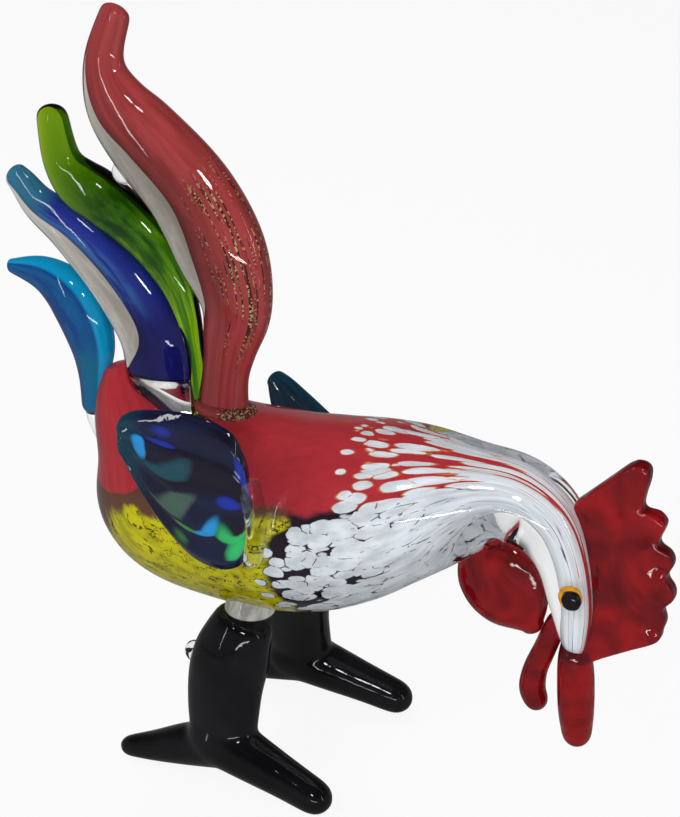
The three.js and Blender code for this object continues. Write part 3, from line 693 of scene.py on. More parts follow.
def pour_glass(name, absorbs, tint, density, ior=1.5, waves=60.0, depth=0.0006, through=1.0):
    """See-through glass, which darkens with depth. Lamps shine through it onto what lies inside."""
    material, tree, output = new_material(name)
    sockets = {
        "Base Color": tint(tree),
        "Roughness": 0.0,
        "IOR": ior,
        "Transmission Weight": through,
        "Normal": hot_normal(tree, waves, depth),
    }
    glass = put(tree, "BsdfPrincipled", sockets).outputs[0]
    passing = put(tree, "BsdfTransparent", {"Color": (1, 1, 1, 1)}).outputs[0]
    shadow = put(tree, "LightPath").outputs["Is Shadow Ray"]
    shown = put(tree, "MixShader", {0: shadow, 1: glass, 2: passing})
    inside = put(tree, "VolumeAbsorption", {"Color": opaque(absorbs), "Density": density})
    tree.links.new(shown.outputs[0], output.inputs["Surface"])
    tree.links.new(inside.outputs[0], output.inputs["Volume"])
    return material


def solid_glass(tree, output, base, roughness, specular=0.5, normal=None):
    """Ends a material of opaque glass in one gloss shader."""
    sockets = {"Base Color": base, "Roughness": roughness, "Specular IOR Level": specular}
    if normal is not None:
        sockets["Normal"] = normal
    gloss = put(tree, "BsdfPrincipled", sockets)
    tree.links.new(gloss.outputs[0], output.inputs["Surface"])


def clear_glass(name, colours):
    """Clear glass, faintly grey."""
    tint = streaky((0.97, 0.98, 0.97), (0.86, 0.87, 0.87))
    return pour_glass(name, colours.clear, tint, density=10.0)


def thin_glass(name, colours):
    """Clear glass of the wing tags, which are thin fins and hardly bend what lies behind them."""
    tint = streaky((0.97, 0.97, 0.95), (0.8, 0.8, 0.76))
    return pour_glass(name, colours.clear, tint, density=10.0, ior=1.16)


def smoky_glass(name, colours):
    """Clear glass of the feathers, greyer where it is thick."""
    # The darker streaks are partly streaks in the glass and partly painted reflections of what lies behind
    # it.
    tint = streaky((0.99, 0.99, 0.98), (0.68, 0.66, 0.63), fineness=3.2)
    return pour_glass(name, colours.smoky, tint, density=330.0)


def milky_glass(name, colours):
    """Clear glass of the hips, cloudy, with small waves."""
    tint = streaky((0.66, 0.66, 0.64), (0.36, 0.35, 0.33))
    return pour_glass(name, colours.clear, tint, density=10.0, through=0.5, waves=120.0)


def ruby_glass(name, colours):
    """Deep red glass of comb, wattle and beak, with a paler glow in places."""

    def tint(tree):
        cloud = noise(tree, own_place(tree), 48.0, distortion=1.6)["Fac"]
        return blend(tree, ramp_up(tree, cloud, 0.35, 0.68), colours.ruby_deep, colours.ruby_glow)

    return pour_glass(name, colours.ruby, tint, density=220.0, waves=130.0, through=0.75, depth=0.002)


def green_glass(name, colours):
    """Green glass with dark streaks, yellower towards the tip."""
    tint = streaky((0.9, 1, 0.5), (0.06, 0.22, 0.07), fineness=3.2)
    tint = turning(tint, "Z", 3.4, 5.2, (1, 0.95, 0.5))
    return pour_glass(name, colours.green, tint, density=750.0)


def cobalt_glass(name, colours):
    """Deep blue glass, teal at the tip. It lies in clear glass and so doesn't bend the light again."""
    tint = turning(streaky(colours.cobalt_pale, colours.cobalt_mid), "X", 0.3, -0.5, colours.cobalt_mid)
    tint = turning(tint, "Z", 3.0, 1.9, colours.cobalt_night)
    tint = turning(tint, "Z", 4.5, 4.72, colours.cobalt_tip)
    return pour_glass(name, colours.cobalt, tint, density=300.0, ior=1.02, through=0.5)


def aqua_glass(name, colours):
    """Blue glass, with painted cyan light along its upper edge, painted shade along the lower one and teal
    towards its root.
    """
    tint = turning(streaky(colours.aqua_blue, colours.aqua_deep), "Z", 1.4, 0.6, colours.aqua_teal)
    # Painted shade along the lower edge, then painted light along the upper one
    tint = turning(tint, "X", 0.3, 0.8, colours.aqua_painted_dark_edge)
    tint = turning(tint, "X", -0.5, -0.66, colours.aqua_painted_bright_edge)
    return pour_glass(name, colours.aqua, tint, density=250.0, through=0.5)


def painted_lens_light_group():
    """A soft-edged oval on a drawn piece, which may lean, as a mask for a painted light."""
    name = "Lens light"
    if name in bpy.data.node_groups:
        return bpy.data.node_groups[name]
    inputs = dict.fromkeys(("Across", "Along", "Lean", "Half across", "Half along"), 0.1)
    tree, start, end = new_group(name, inputs, "Mask", "NodeSocketFloat")
    place = put(tree, "SeparateXYZ", {0: drawn_place(tree)}).outputs
    ahead = math_node(tree, "SUBTRACT", place["Z"], start.outputs["Along"])
    lean = math_node(tree, "MULTIPLY", ahead, start.outputs["Lean"])
    beside = math_node(tree, "SUBTRACT", place["X"], start.outputs["Across"])
    beside = math_node(tree, "SUBTRACT", beside, lean)
    beside = math_node(tree, "DIVIDE", beside, start.outputs["Half across"])
    ahead = math_node(tree, "DIVIDE", ahead, start.outputs["Half along"])
    squares = [math_node(tree, "MULTIPLY", part, part) for part in (beside, ahead)]
    far = math_node(tree, "ADD", *squares)
    tree.links.new(ramp_up(tree, far, 1.0, 0.2), end.inputs["Mask"])
    return tree


def wing_glass(name, colours):
    """Dark blue glass, with lens-shaped painted lights in blue and green between the ribs."""
    # Each painted light's place across and along the wing, its lean, its half sizes and its colour
    lights = (
        (-0.6, 0.01, 0.0, 0.2, 0.07, colours.wing_painted_royal),
        (-0.03, 0.15, 0.0, 0.14, 0.16, colours.wing_painted_royal),
        (-0.56, 0.91, 0.0, 0.1, 0.16, colours.wing_painted_royal),
        (-0.17, 0.84, 0.62, 0.15, 0.32, colours.wing_painted_teal),
        (0.27, 0.8, 0.94, 0.17, 0.31, colours.wing_painted_haze),
        (0.54, 0.7, 0.3, 0.1, 0.18, colours.wing_painted_leaf),
        (0.4, 0.44, 0.8, 0.12, 0.2, colours.wing_painted_blue),
        (0.5, 0.15, -0.77, 0.22, 0.19, colours.wing_painted_green),
        (-0.3, 1.08, 0.0, 0.27, 0.04, colours.wing_painted_blue),
    )

    night = streaky(colours.wing_night, colours.wing_deep, fineness=2.0, stretch=0.5)
    night = turning(night, "Z", 1.04, 1.14, colours.wing_tip)

    def tint(tree):
        shade = night(tree)
        # Lays each painted light over the dark streaks
        for *place, light in lights:
            oval = put(tree, "Group", dict(enumerate(place)), node_tree=painted_lens_light_group())
            shade = blend(tree, oval.outputs["Mask"], shade, light)
        return shade

    return pour_glass(name, colours.wing, tint, density=120.0, through=0.4, waves=120.0)


def body_core_glass(name, colours):
    """Red back, yellow belly and white chips, which follow the gather as it was drawn out."""
    material, tree, output = new_material(name)
    drawn = drawn_place(tree)
    parts = put(tree, "SeparateXYZ", {0: drawn}).outputs
    height, along = parts["X"], parts["Z"]
    wander = noise(tree, drawn, 4.0, detail=3.0)
    stray = math_node(tree, "SUBTRACT", wander["Fac"], 0.5)
    cloudy = noise(tree, drawn, 7.0, detail=4.0)["Fac"]
    broken = noise(tree, drawn, 11.0)["Fac"]
    chip_scale = 6.0
    patch_edge = -0.08

    # Where the red ends: round the whole rump, then in a line that rises along the flank and
    # falls a little on the breast. Each stretch of the gather adds its rise.
    red_edge = ramp_up(tree, along, 0.24, 0.38, -1.2, 0.0, smooth=False)
    for start, end, rise in ((0.36, 0.5, 0.3), (0.5, 1.78, 0.18), (1.78, 2.2, -0.1)):
        stretch = ramp_up(tree, along, start, end, 0.0, rise, smooth=False)
        red_edge = math_node(tree, "ADD", red_edge, stretch)
    above = math_node(tree, "SUBTRACT", height, red_edge)
    above = math_node(tree, "ADD", above, math_node(tree, "MULTIPLY", stray, 0.3))
    below_red = ramp_up(tree, above, 0.06, -0.06)

    # Yellow chips with dark cracks
    crack_place = put(tree, "VectorMath", {0: drawn, 1: wander["Color"]}, operation="ADD").outputs[0]
    cracks = grains(tree, crack_place, 9.0, "DISTANCE_TO_EDGE")
    crack = ramp_up(tree, cracks["Distance"], 0.11, 0.03)
    crack = math_node(tree, "MULTIPLY", crack, ramp_up(tree, broken, 0.5, 0.6))
    dull = shade_of(colours.belly_yellow, 0.6)
    yellow = blend(tree, ramp_up(tree, cloudy, 0.3, 0.6), dull, colours.belly_yellow)
    yellow = blend(tree, crack, yellow, colours.belly_brown)

    # A brown haze between the red and the yellow, widest at the rump
    rear = math_node(tree, "ADD", along, math_node(tree, "MULTIPLY", stray, 0.2))
    depth = ramp_up(tree, along, 0.5, 1.2, 0.42, 0.16)
    haze = ramp_up(tree, math_node(tree, "ADD", above, depth), 0.0, 0.1)
    haze = math_node(tree, "MAXIMUM", haze, ramp_up(tree, rear, 0.455, 0.385))
    yellow = blend(tree, haze, yellow, colours.belly_haze)

    # The dark ground of the breast, which comes later just under the red
    front = math_node(tree, "ADD", along, math_node(tree, "MULTIPLY", stray, 0.35))
    front = math_node(tree, "SUBTRACT", front, ramp_up(tree, height, 0.0, 0.3, 0.0, 0.3))
    lower = blend(tree, ramp_up(tree, front, 1.74, 1.84), yellow, colours.breast_dark)
    red_cloud = shade_of(colours.body_red, 0.85)
    red = blend(tree, ramp_up(tree, cloudy, 0.35, 0.75), colours.body_red, red_cloud)
    ground = blend(tree, below_red, red, lower)

    # White chips: separate blobs at the edge of the patch, run together further in. Each is
    # judged by its own middle, so that none is cut off.
    nudge = put(tree, "VectorMath", {0: wander["Color"], "Scale": 0.1}, operation="SCALE")
    chip_place = put(tree, "VectorMath", {0: drawn, 1: nudge.outputs[0]}, operation="ADD").outputs[0]
    chips = grains(tree, chip_place, chip_scale)
    middle = put(tree, "SeparateXYZ", {0: chips["Position"]}).outputs
    inside = math_node(tree, "SUBTRACT", middle["Z"], ramp_up(tree, middle["X"], -0.1, 0.75, 1.82, 2.66))
    reach = ramp_up(tree, inside, patch_edge, 0.35, 0.4, 0.8, smooth=False)
    reach = math_node(tree, "MULTIPLY", reach, ramp_up(tree, height, 0.3, 0.75, 1.0, 0.8))
    closed = math_node(tree, "MULTIPLY", ramp_up(tree, inside, 0.6, 1.1), ramp_up(tree, height, 0.3, -0.1))
    reach = math_node(tree, "ADD", reach, math_node(tree, "MULTIPLY", closed, 0.12))
    size = ramp_up(tree, chips["Color"], 0.0, 1.0, 0.85, 1.12, smooth=False)
    edge = math_node(tree, "SUBTRACT", math_node(tree, "MULTIPLY", reach, size), chips["Distance"])
    present = math_node(tree, "GREATER_THAN", inside, patch_edge)
    rim = math_node(tree, "MULTIPLY", ramp_up(tree, edge, -0.05, 0.0), present)
    chip = math_node(tree, "MULTIPLY", ramp_up(tree, edge, 0.0, 0.05), present)

    # Dark seams between chips that have run together, open only in places
    seams = grains(tree, chip_place, chip_scale, "DISTANCE_TO_EDGE")
    seam = ramp_up(tree, seams["Distance"], 0.045, 0.015, 0.0, 0.85)
    seam = math_node(tree, "MULTIPLY", seam, ramp_up(tree, broken, 0.49, 0.59))
    chip = math_node(tree, "MULTIPLY", chip, math_node(tree, "SUBTRACT", 1.0, seam))
    fringe = blend(tree, below_red, colours.chip_orange, colours.breast_dark)
    shaded = shade_of(colours.chip_white, 0.72)
    white = blend(tree, ramp_up(tree, cloudy, 0.3, 0.7), shaded, colours.chip_white)
    base = blend(tree, rim, ground, fringe)
    base = blend(tree, chip, base, white)
    solid_glass(tree, output, base, roughness=0.5, specular=0.0)
    return material


def red_core_glass(name, colours):
    """Brick red with dark streaks that carry gold flecks up the front half."""
    material, tree, output = new_material(name)
    drawn = drawn_place(tree)
    parts = put(tree, "SeparateXYZ", {0: drawn}).outputs
    flow = put(tree, "VectorMath", {0: drawn, 1: (1.0, 1.0, 0.07)}, operation="MULTIPLY").outputs[0]
    lines = noise(tree, flow, 11.0, detail=4.0, distortion=0.3)["Fac"]
    streak = ramp_up(tree, lines, 0.555, 0.60)
    # The streaks start above the root, end below the tip and keep to the front.
    for axis, outside, within in (("Z", 0.3, 0.9), ("Z", 3.6, 2.8), ("X", 0.5, 0.2)):
        streak = math_node(tree, "MULTIPLY", streak, ramp_up(tree, parts[axis], outside, within))
    fleck = math_node(tree, "GREATER_THAN", grains(tree, own_place(tree), 1700.0)["Color"], 0.66)
    cloudy = noise(tree, flow, 3.0, detail=3.0)["Fac"]
    deep = shade_of(colours.feather_red, 0.72)
    red = blend(tree, ramp_up(tree, cloudy, 0.3, 0.7), colours.feather_red, deep)
    metal = blend(tree, fleck, colours.fleck_dark, colours.fleck_gold)
    solid_glass(tree, output, blend(tree, streak, red, metal), roughness=0.5, specular=0.0)
    return material


def black_glass(name, colours):
    """Black glass, paler and less smooth in places."""
    material, tree, output = new_material(name)
    cloud = noise(tree, own_place(tree), 45.0, detail=3.0)["Fac"]
    sheen = shade_of(colours.black, 2.5)
    base = blend(tree, ramp_up(tree, cloud, 0.4, 0.75), colours.black, sheen)
    rough = ramp_up(tree, cloud, 0.3, 0.8, 0.03, 0.09)
    solid_glass(tree, output, base, rough, specular=0.35, normal=hot_normal(tree, 70.0, 0.0012))
    return material


def amber_glass(name, colours):
    """Amber glass of the irises, darker in patches."""
    material, tree, output = new_material(name)
    cloud = noise(tree, own_place(tree), 380.0)["Fac"]
    deep = shade_of(colours.amber, 0.6)
    base = blend(tree, ramp_up(tree, cloud, 0.35, 0.7), colours.amber, deep)
    solid_glass(tree, output, base, roughness=0.06, normal=hot_normal(tree, 200.0, 0.0003))
    return material


def gold_fleck_glass(name, colours):
    """Red glass, with gold flecks in its front half."""
    material, tree, output = new_material(name)
    fleck = math_node(tree, "GREATER_THAN", grains(tree, own_place(tree), 2600.0)["Color"], 0.68)
    across = put(tree, "SeparateXYZ", {0: drawn_place(tree)}).outputs["X"]
    flecked = blend(tree, fleck, colours.collar_ground, colours.fleck_gold)
    sockets = {
        "Base Color": blend(tree, ramp_up(tree, across, 0.1, -0.3), colours.feather_red, flecked),
        "Roughness": 0.05,
        "Transmission Weight": 0.5,
        "Normal": hot_normal(tree, 240.0, 0.0012),
    }
    gloss = put(tree, "BsdfPrincipled", sockets)
    tree.links.new(gloss.outputs[0], output.inputs["Surface"])
    return material


def glass_for(colours, slot):
    """The material of a slot, made the first time that a piece asks for it."""
    name = f"hot_{slot}"
    if name in bpy.data.materials:
        return bpy.data.materials[name]
    makers = {
        "body_glass": body_core_glass,
        "brick_glass": red_core_glass,
        "black_glass": black_glass,
        "amber_glass": amber_glass,
        "gold_fleck_glass": gold_fleck_glass,
        "clear_glass": clear_glass,
        "thin_glass": thin_glass,
        "smoky_glass": smoky_glass,
        "milky_glass": milky_glass,
        "ruby_glass": ruby_glass,
        "green_glass": green_glass,
        "cobalt_glass": cobalt_glass,
        "aqua_glass": aqua_glass,
        "wing_glass": wing_glass,
    }
    return makers[slot](name, colours)


# Body


def body_stations(sizes):
    """The gather's line, from the cut end to the top of the bend, then down the head."""

    def rump(back, rise, share):
        radius = mix(sizes.stub_radius, sizes.radius, share)
        at = spot(-sizes.stub_back * back, sizes.height + sizes.stub_rise * rise)
        return Station(at, radius, radius)

    def breast(ahead, rise, share):
        radius = mix(sizes.radius, sizes.neck_radius, share)
        at = spot(sizes.neck_reach * ahead, sizes.height + sizes.neck_rise * rise)
        return Station(at, radius, radius)

    neck, head = sizes.neck_radius, sizes.head_radius
    return [
        rump(1, 1, 0),
        rump(0.94, 0.76, 0.24),
        rump(0.81, 0.45, 0.48),
        rump(0.61, 0.1, 0.9),
        rump(0.2, 0.02, 0.98),
        breast(0.146, 0.08, 0.03),
        breast(0.34, 0.29, 0.14),
        breast(0.52, 0.56, 0.33),
        breast(0.7, 0.79, 0.57),
        breast(0.86, 0.95, 0.855),
        head_station(sizes, 0, 0, neck),
        head_station(sizes, 0.47, 0.11, mix(neck, head, 0.32)),
        head_station(sizes, 0.77, 0.335, mix(neck, head, 0.77)),
        head_station(sizes, 0.92, 0.61, head),
        head_station(sizes, 0.98, 0.83, mix(head, sizes.head_tip, 0.45)),
        head_station(sizes, 1, 1, sizes.head_tip),
    ]


def head_station(sizes, ahead, drop, radius):
    """A place down the head, from the top of the bend."""
    x = sizes.neck_reach + sizes.head_forward * ahead
    z = sizes.height + sizes.neck_rise - sizes.head_drop * drop
    return Station(spot(x, z), radius, radius)


def core_stations(stations, thick_walls, thin_walls, outwards):
    """A core's line: off the outer one by half the difference of its two walls, outwards or inwards."""
    turns = turns_along([s.at for s in stations])
    core = []
    for station, thick, thin, turn in zip(stations, thick_walls, thin_walls, turns):
        radius = (2 * station.wide - thin - thick) / 2
        outward = Vector((-math.cos(turn), 0, math.sin(turn)))
        at = station.at + outward * outwards * (thick - thin) / 2
        core.append(Station(at, radius, min(radius, station.thick - thin)))
    return core


class ROOSTER_OT_body(bpy.types.Operator):
    """Draw the coloured core of body, neck and head, and the clear glass that cases it"""

    bl_idname = "rooster.body"
    bl_label = "Body"

    def execute(self, context):
        sizes, colours = context.scene.rooster_body, context.scene.rooster_colours
        stations = body_stations(sizes)
        # Clear glass on the inner side of the line, as shares of the radius
        body = sizes.wall / sizes.radius
        neck = sizes.neck_clear / sizes.neck_radius
        rim = sizes.neck_rim / sizes.neck_radius
        head = sizes.head_clear / sizes.head_radius
        shares = [body] * 8 + [
            mix(body, neck, 0.5),
            mix(body, neck, 0.9),
            neck,
            mix(neck, head, 0.25),
            mix(neck, head, 0.7),
            head,
            mix(head, body, 0.5),
            body,
        ]
        rims = [body] * 7 + [mix(body, rim, 0.5)] + [rim] * 8
        inner = [station.wide * share for station, share in zip(stations, shares)]
        outer = [station.wide * share for station, share in zip(stations, rims)]
        core = draw_out(
            core_stations(stations, inner, outer, 1), sides=24, steps=4, domes=(0.3, 0.8), gather=stations
        )
        settle(core, "body_core", "body_glass", colours)
        casing = draw_out(stations, sides=24, steps=4, domes=(0.4, 1))
        settle(casing, "body_casing", "clear_glass", colours)
        return {"FINISHED"}


# Head


def comb_centre(sizes):
    """The place in the head that the comb's scallops point away from."""
    return head_station(sizes, 0.87, 0.41, 0).at


def comb_outline(sizes):
    """Corners of the comb's edge: up to the rear horn, round the scallops and back to the beak."""
    centre = comb_centre(sizes)
    head_end = head_station(sizes, 1, 1, 0).at
    last = sizes.comb_lobes - 1

    def polar(turn, reach):
        return centre + Vector((math.cos(turn), 0, math.sin(turn))) * reach

    def tip(i):
        return sizes.comb_reach + sizes.comb_horn * (1 - i / last) ** 4

    def lean(i):
        return sizes.comb_top - sizes.comb_pitch * i

    edge = []
    for i in range(sizes.comb_lobes):
        edge.append(polar(lean(i) + sizes.comb_pitch * 0.2, tip(i) - sizes.comb_notch * 0.12))
        edge.append(polar(lean(i) - sizes.comb_pitch * 0.14, tip(i)))
        if i < last:
            edge.append(polar(lean(i + 0.5), tip(i + 1) - sizes.comb_notch))
    horn = sizes.comb_horn
    rear = centre + Vector((0, 0, sizes.comb_reach * 0.72))
    back_of_horn = edge[0] - Vector((horn * 0.6, 0, horn * 0.55))
    foot = polar(lean(last) - sizes.comb_pitch * 0.45, sizes.comb_reach * 1.03)
    tip_radius = sizes.head_tip
    beak_side = head_end + Vector((tip_radius * 0.5, 0, -tip_radius))
    head_side = head_end + Vector((-tip_radius * 0.5, 0, tip_radius))
    return [
        rear,
        rear.lerp(back_of_horn, 0.35),
        rear.lerp(back_of_horn, 0.7),
        back_of_horn,
        *edge,
        foot,
        foot.lerp(beak_side, 0.35),
        foot.lerp(beak_side, 0.7),
        beak_side,
        head_side,
        head_side.lerp(rear, 0.33),
        head_side.lerp(rear, 0.67),
    ]


def press_fin(outline, thickness):
    """Presses a fin out of a disc: its edge goes to the outline, then it is thickened and melted."""
    places = smooth_through([*outline, outline[0]], 3)[:-1]
    clear_selection()
    bpy.ops.mesh.primitive_circle_add(vertices=len(places), radius=1, fill_type="NGON")
    fin = bpy.context.object
    bpy.ops.object.mode_set(mode="EDIT")
    bpy.ops.mesh.select_mode(type="VERT")
    bpy.ops.mesh.select_all(action="DESELECT")
    bpy.ops.object.mode_set(mode="OBJECT")
    for i, place in enumerate(places):
        vertex = fin.data.vertices[i]
        vertex.select = True
        step = place - Vector((0, thickness / 2, 0)) - vertex.co
        bpy.ops.object.mode_set(mode="EDIT")
        bpy.ops.transform.translate(value=step)
        bpy.ops.mesh.select_all(action="DESELECT")
        bpy.ops.object.mode_set(mode="OBJECT")
    bpy.ops.object.mode_set(mode="EDIT")
    bpy.ops.mesh.select_all(action="SELECT")
    bpy.ops.mesh.extrude_region_move(TRANSFORM_OT_translate={"value": (0, thickness, 0)})
    bpy.ops.mesh.select_all(action="SELECT")
    bpy.ops.mesh.normals_make_consistent(inside=False)
    bpy.ops.object.mode_set(mode="OBJECT")
    return melt_together([fin], voxel=0.0006, rounds=24)


def pinch(piece, place, depth, size):
    """Presses a soft dent into both faces of a piece at a place."""
    for side in (-1, 1):
        nearest = min(piece.data.vertices, key=lambda v: (v.co - place).length - v.co.y * side * 2)
        index = nearest.index
        bpy.ops.object.mode_set(mode="EDIT")
        bpy.ops.mesh.select_mode(type="VERT")
        bpy.ops.mesh.select_all(action="DESELECT")
        bpy.ops.object.mode_set(mode="OBJECT")
        piece.data.vertices[index].select = True
        bpy.ops.object.mode_set(mode="EDIT")
        bpy.ops.transform.translate(
            value=(0, -side * depth, 0),
            use_proportional_edit=True,
            use_proportional_connected=True,
            proportional_edit_falloff="SMOOTH",
            proportional_size=size,
        )
        bpy.ops.object.mode_set(mode="OBJECT")


class ROOSTER_OT_comb(bpy.types.Operator):
    """Press the comb: a fin with a tall rear horn and a scalloped edge"""

    bl_idname = "rooster.comb"
    bl_label = "Comb"

    def execute(self, context):
        sizes, colours = context.scene.rooster_body, context.scene.rooster_colours
        thickness = sizes.comb_thickness
        comb = press_fin(comb_outline(sizes), thickness * 0.8)
        centre = comb_centre(sizes)
        pinch(comb, centre + Vector((sizes.comb_reach * 0.5, 0, 0)), -thickness * 0.1, sizes.comb_reach)
        for i in range(sizes.comb_lobes):
            lean = sizes.comb_top - sizes.comb_pitch * i
            for share, depth in ((0.9, 0.16), (0.66, 0.08)):
                reach = Vector((math.cos(lean), 0, math.sin(lean))) * sizes.comb_reach * share
                pinch(comb, centre + reach, thickness * depth, sizes.comb_reach * 0.2)
        settle(seat_on(comb, "body_casing"), "comb", "ruby_glass", colours)
        return {"FINISHED"}


class ROOSTER_OT_wattle_and_beak(bpy.types.Operator):
    """Draw the wattle inside the bend and the two halves of the open beak"""

    bl_idname = "rooster.wattle_and_beak"
    bl_label = "Wattle and Beak"

    def execute(self, context):
        sizes, colours = context.scene.rooster_body, context.scene.rooster_colours
        head_end = head_station(sizes, 1, 1, 0).at
        throat = head_station(sizes, 0, 0.62, 0).at

        def beak(name, root, size, width, rows):
            stations = [
                Station(root + Vector((ahead, 0, -down)) * size, width / 2 * share, width / 2 * share)
                for down, ahead, share in rows
            ]
            settle(seat_on(draw_out(stations, steps=4), "body_casing"), name, "ruby_glass", colours)

        upper_rows = [
            (-0.1, -0.03, 0.7),
            (0.04, -0.01, 0.92),
            (0.28, 0.01, 1.03),
            (0.64, 0.03, 1),
            (0.9, 0.05, 0.84),
        ]
        beak("upper_beak", head_end, sizes.upper_beak_length, sizes.upper_beak_width, upper_rows)
        lower_rows = [
            (-0.12, 0.05, 0.8),
            (0.04, 0, 0.87),
            (0.28, -0.08, 0.9),
            (0.57, -0.18, 0.97),
            (0.82, -0.21, 1.05),
            (0.97, -0.16, 0.97),
        ]
        chin = head_end + Vector((-sizes.head_radius, 0, sizes.head_tip * 1.8))
        beak("lower_beak", chin, sizes.lower_beak_length, sizes.lower_beak_width, lower_rows)

        wattle_rows = [
            (-0.41, 0.37, 0.34),
            (-0.36, 0.3, 0.65),
            (-0.25, 0.16, 0.92),
            (-0.1, -0.03, 1),
            (0.04, -0.2, 0.84),
            (0.13, -0.31, 0.55),
            (0.19, -0.39, 0.28),
        ]
        wattle_stations = [
            Station(
                throat + Vector((ahead, 0, rise)) * sizes.wattle_length,
                sizes.wattle_width / 2 * share,
                sizes.wattle_thickness / 2 * math.sqrt(share),
            )
            for ahead, rise, share in wattle_rows
        ]
        wattle = seat_on(draw_out(wattle_stations, steps=4), "body_casing", "lower_beak")
        settle(wattle, "wattle", "ruby_glass", colours)
        return {"FINISHED"}


class ROOSTER_OT_eyes(bpy.types.Operator):
    """Press an amber bead and a black bead on each side of the head"""

    bl_idname = "rooster.eyes"
    bl_label = "Eyes"

    def execute(self, context):
        sizes, colours = context.scene.rooster_body, context.scene.rooster_colours
        middle = head_station(sizes, 1, 0.51, 0).at
        for name, side in (("right", -1), ("left", 1)):
            out = side * (sizes.head_radius + sizes.iris_bulge * 0.1)
            centre = middle + Vector((0, out, 0))
            iris = bead(centre, sizes.iris_radius, sizes.iris_bulge)
            settle(iris, f"{name}_iris", "amber_glass", colours)
            gaze = centre + Vector((sizes.pupil_ahead, side * sizes.iris_bulge * 0.8, 0))
            pupil = bead(gaze, sizes.pupil_radius, sizes.pupil_radius * 0.62)
            settle(pupil, f"{name}_pupil", "black_glass", colours)
        return {"FINISHED"}


# Tail


def back_top(body, behind):
    """A place on the back, as a share of the way to the stub."""
    return spot(-body.stub_back * behind, body.height + body.radius * 0.94)


def feather_stations(tail, name, root, rows):
    """The line of a named feather. Each row is rise, lean and width, as shares of its own sizes."""
    height, lean, width, thickness = (
        getattr(tail, f"{name}_{size}") for size in ("height", "lean", "width", "thickness")
    )
    return [
        Station(root + Vector((-lean * back, 0, height * rise)), width / 2 * share, thickness / 2 * share)
        for rise, back, share in rows
    ]


def draw_core(stations, clear, wall, swells):
    """Draws a cased feather's core near its front edge, with each row's share of clear glass behind."""
    thin = [min(wall, s.wide * 0.3) for s in stations]
    thick = [
        min(mix(least, clear, swell), station.wide * 0.85)
        for station, least, swell in zip(stations, thin, swells)
    ]
    core = [
        Station(c.at, c.wide, min(s.thick * 0.8, s.thick - wall * 0.6))
        for c, s in zip(core_stations(stations, thick, thin, -1), stations)
    ]
    return draw_out(core, steps=4, gather=stations)


def red_stations(body, tail):
    """The line of the red feather."""
    rows = [
        (0, 0.03, 0.58),
        (0.11, 0, 0.5),
        (0.2, -0.05, 0.59),
        (0.31, -0.11, 0.78),
        (0.44, 0.01, 1),
        (0.58, 0.26, 0.98),
        (0.7, 0.65, 0.89),
        (0.785, 0.9, 0.72),
        (0.89, 1, 0.43),
        (1.01, 0.88, 0.32),
    ]
    return feather_stations(tail, "red", back_top(body, 0.26), rows)


def green_stations(body, tail):
    """The line of the green feather."""
    rows = [
        (-0.05, 0.03, 0.41),
        (0.15, 0.05, 0.37),
        (0.24, 0.07, 0.36),
        (0.36, 0.11, 0.46),
        (0.5, 0.21, 0.66),
        (0.63, 0.41, 0.84),
        (0.73, 0.68, 0.98),
        (0.78, 0.85, 0.92),
        (0.86, 0.97, 0.69),
        (1.01, 1.02, 0.56),
    ]
    return feather_stations(tail, "green", back_top(body, 0.4), rows)


class ROOSTER_OT_red_feather(bpy.types.Operator):
    """Draw the red tail feather: a brick core in clear glass, with a gold-flecked collar"""

    bl_idname = "rooster.red_feather"
    bl_label = "Red Feather"

    def execute(self, context):
        scene = context.scene
        tail, colours = scene.rooster_tail, scene.rooster_colours
        stations = red_stations(scene.rooster_body, tail)
        swells = (0, 0, 0, 0.3, 0.8, 1, 0.85, 0.4, 0.05, 0)
        core = draw_core(stations, tail.red_clear, tail.wall, swells)
        settle(core, "red_feather_core", "brick_glass", colours)
        casing = draw_out(stations, steps=4, domes=(1, 0.92))
        settle(casing, "red_feather_casing", "clear_glass", colours, "smoky_glass")

        root = stations[0]
        collar_stations = []
        for level, share in ((-0.6, 0.9), (0, 1), (0.5, 0.7)):
            rise = Vector((tail.red_lean * 0.03, 0, tail.collar_rise + tail.collar_height * level))
            out = tail.collar_width * share
            collar_stations.append(Station(root.at + rise, root.wide + out, root.thick + out))
        collar = draw_out(collar_stations, steps=2, domes=(0.12, 0.12))
        settle(collar, "red_feather_collar", "gold_fleck_glass", colours)
        return {"FINISHED"}


class ROOSTER_OT_green_feather(bpy.types.Operator):
    """Draw the green tail feather and the bead that ties it to the red one"""

    bl_idname = "rooster.green_feather"
    bl_label = "Green Feather"

    def execute(self, context):
        scene = context.scene
        tail, colours = scene.rooster_tail, scene.rooster_colours
        stations = green_stations(scene.rooster_body, tail)
        feather = draw_out(stations, steps=4)
        settle(feather, "green_feather", "green_glass", colours)
        red = red_stations(scene.rooster_body, tail)
        bridge_row = 6
        centre = red[bridge_row].at.lerp(stations[bridge_row].at, 0.5)
        bridge = bead(centre, tail.bridge_radius, tail.bridge_radius)
        seat_on(bridge, "red_feather_casing", "green_feather")
        settle(bridge, "feather_bridge", "clear_glass", colours)
        return {"FINISHED"}


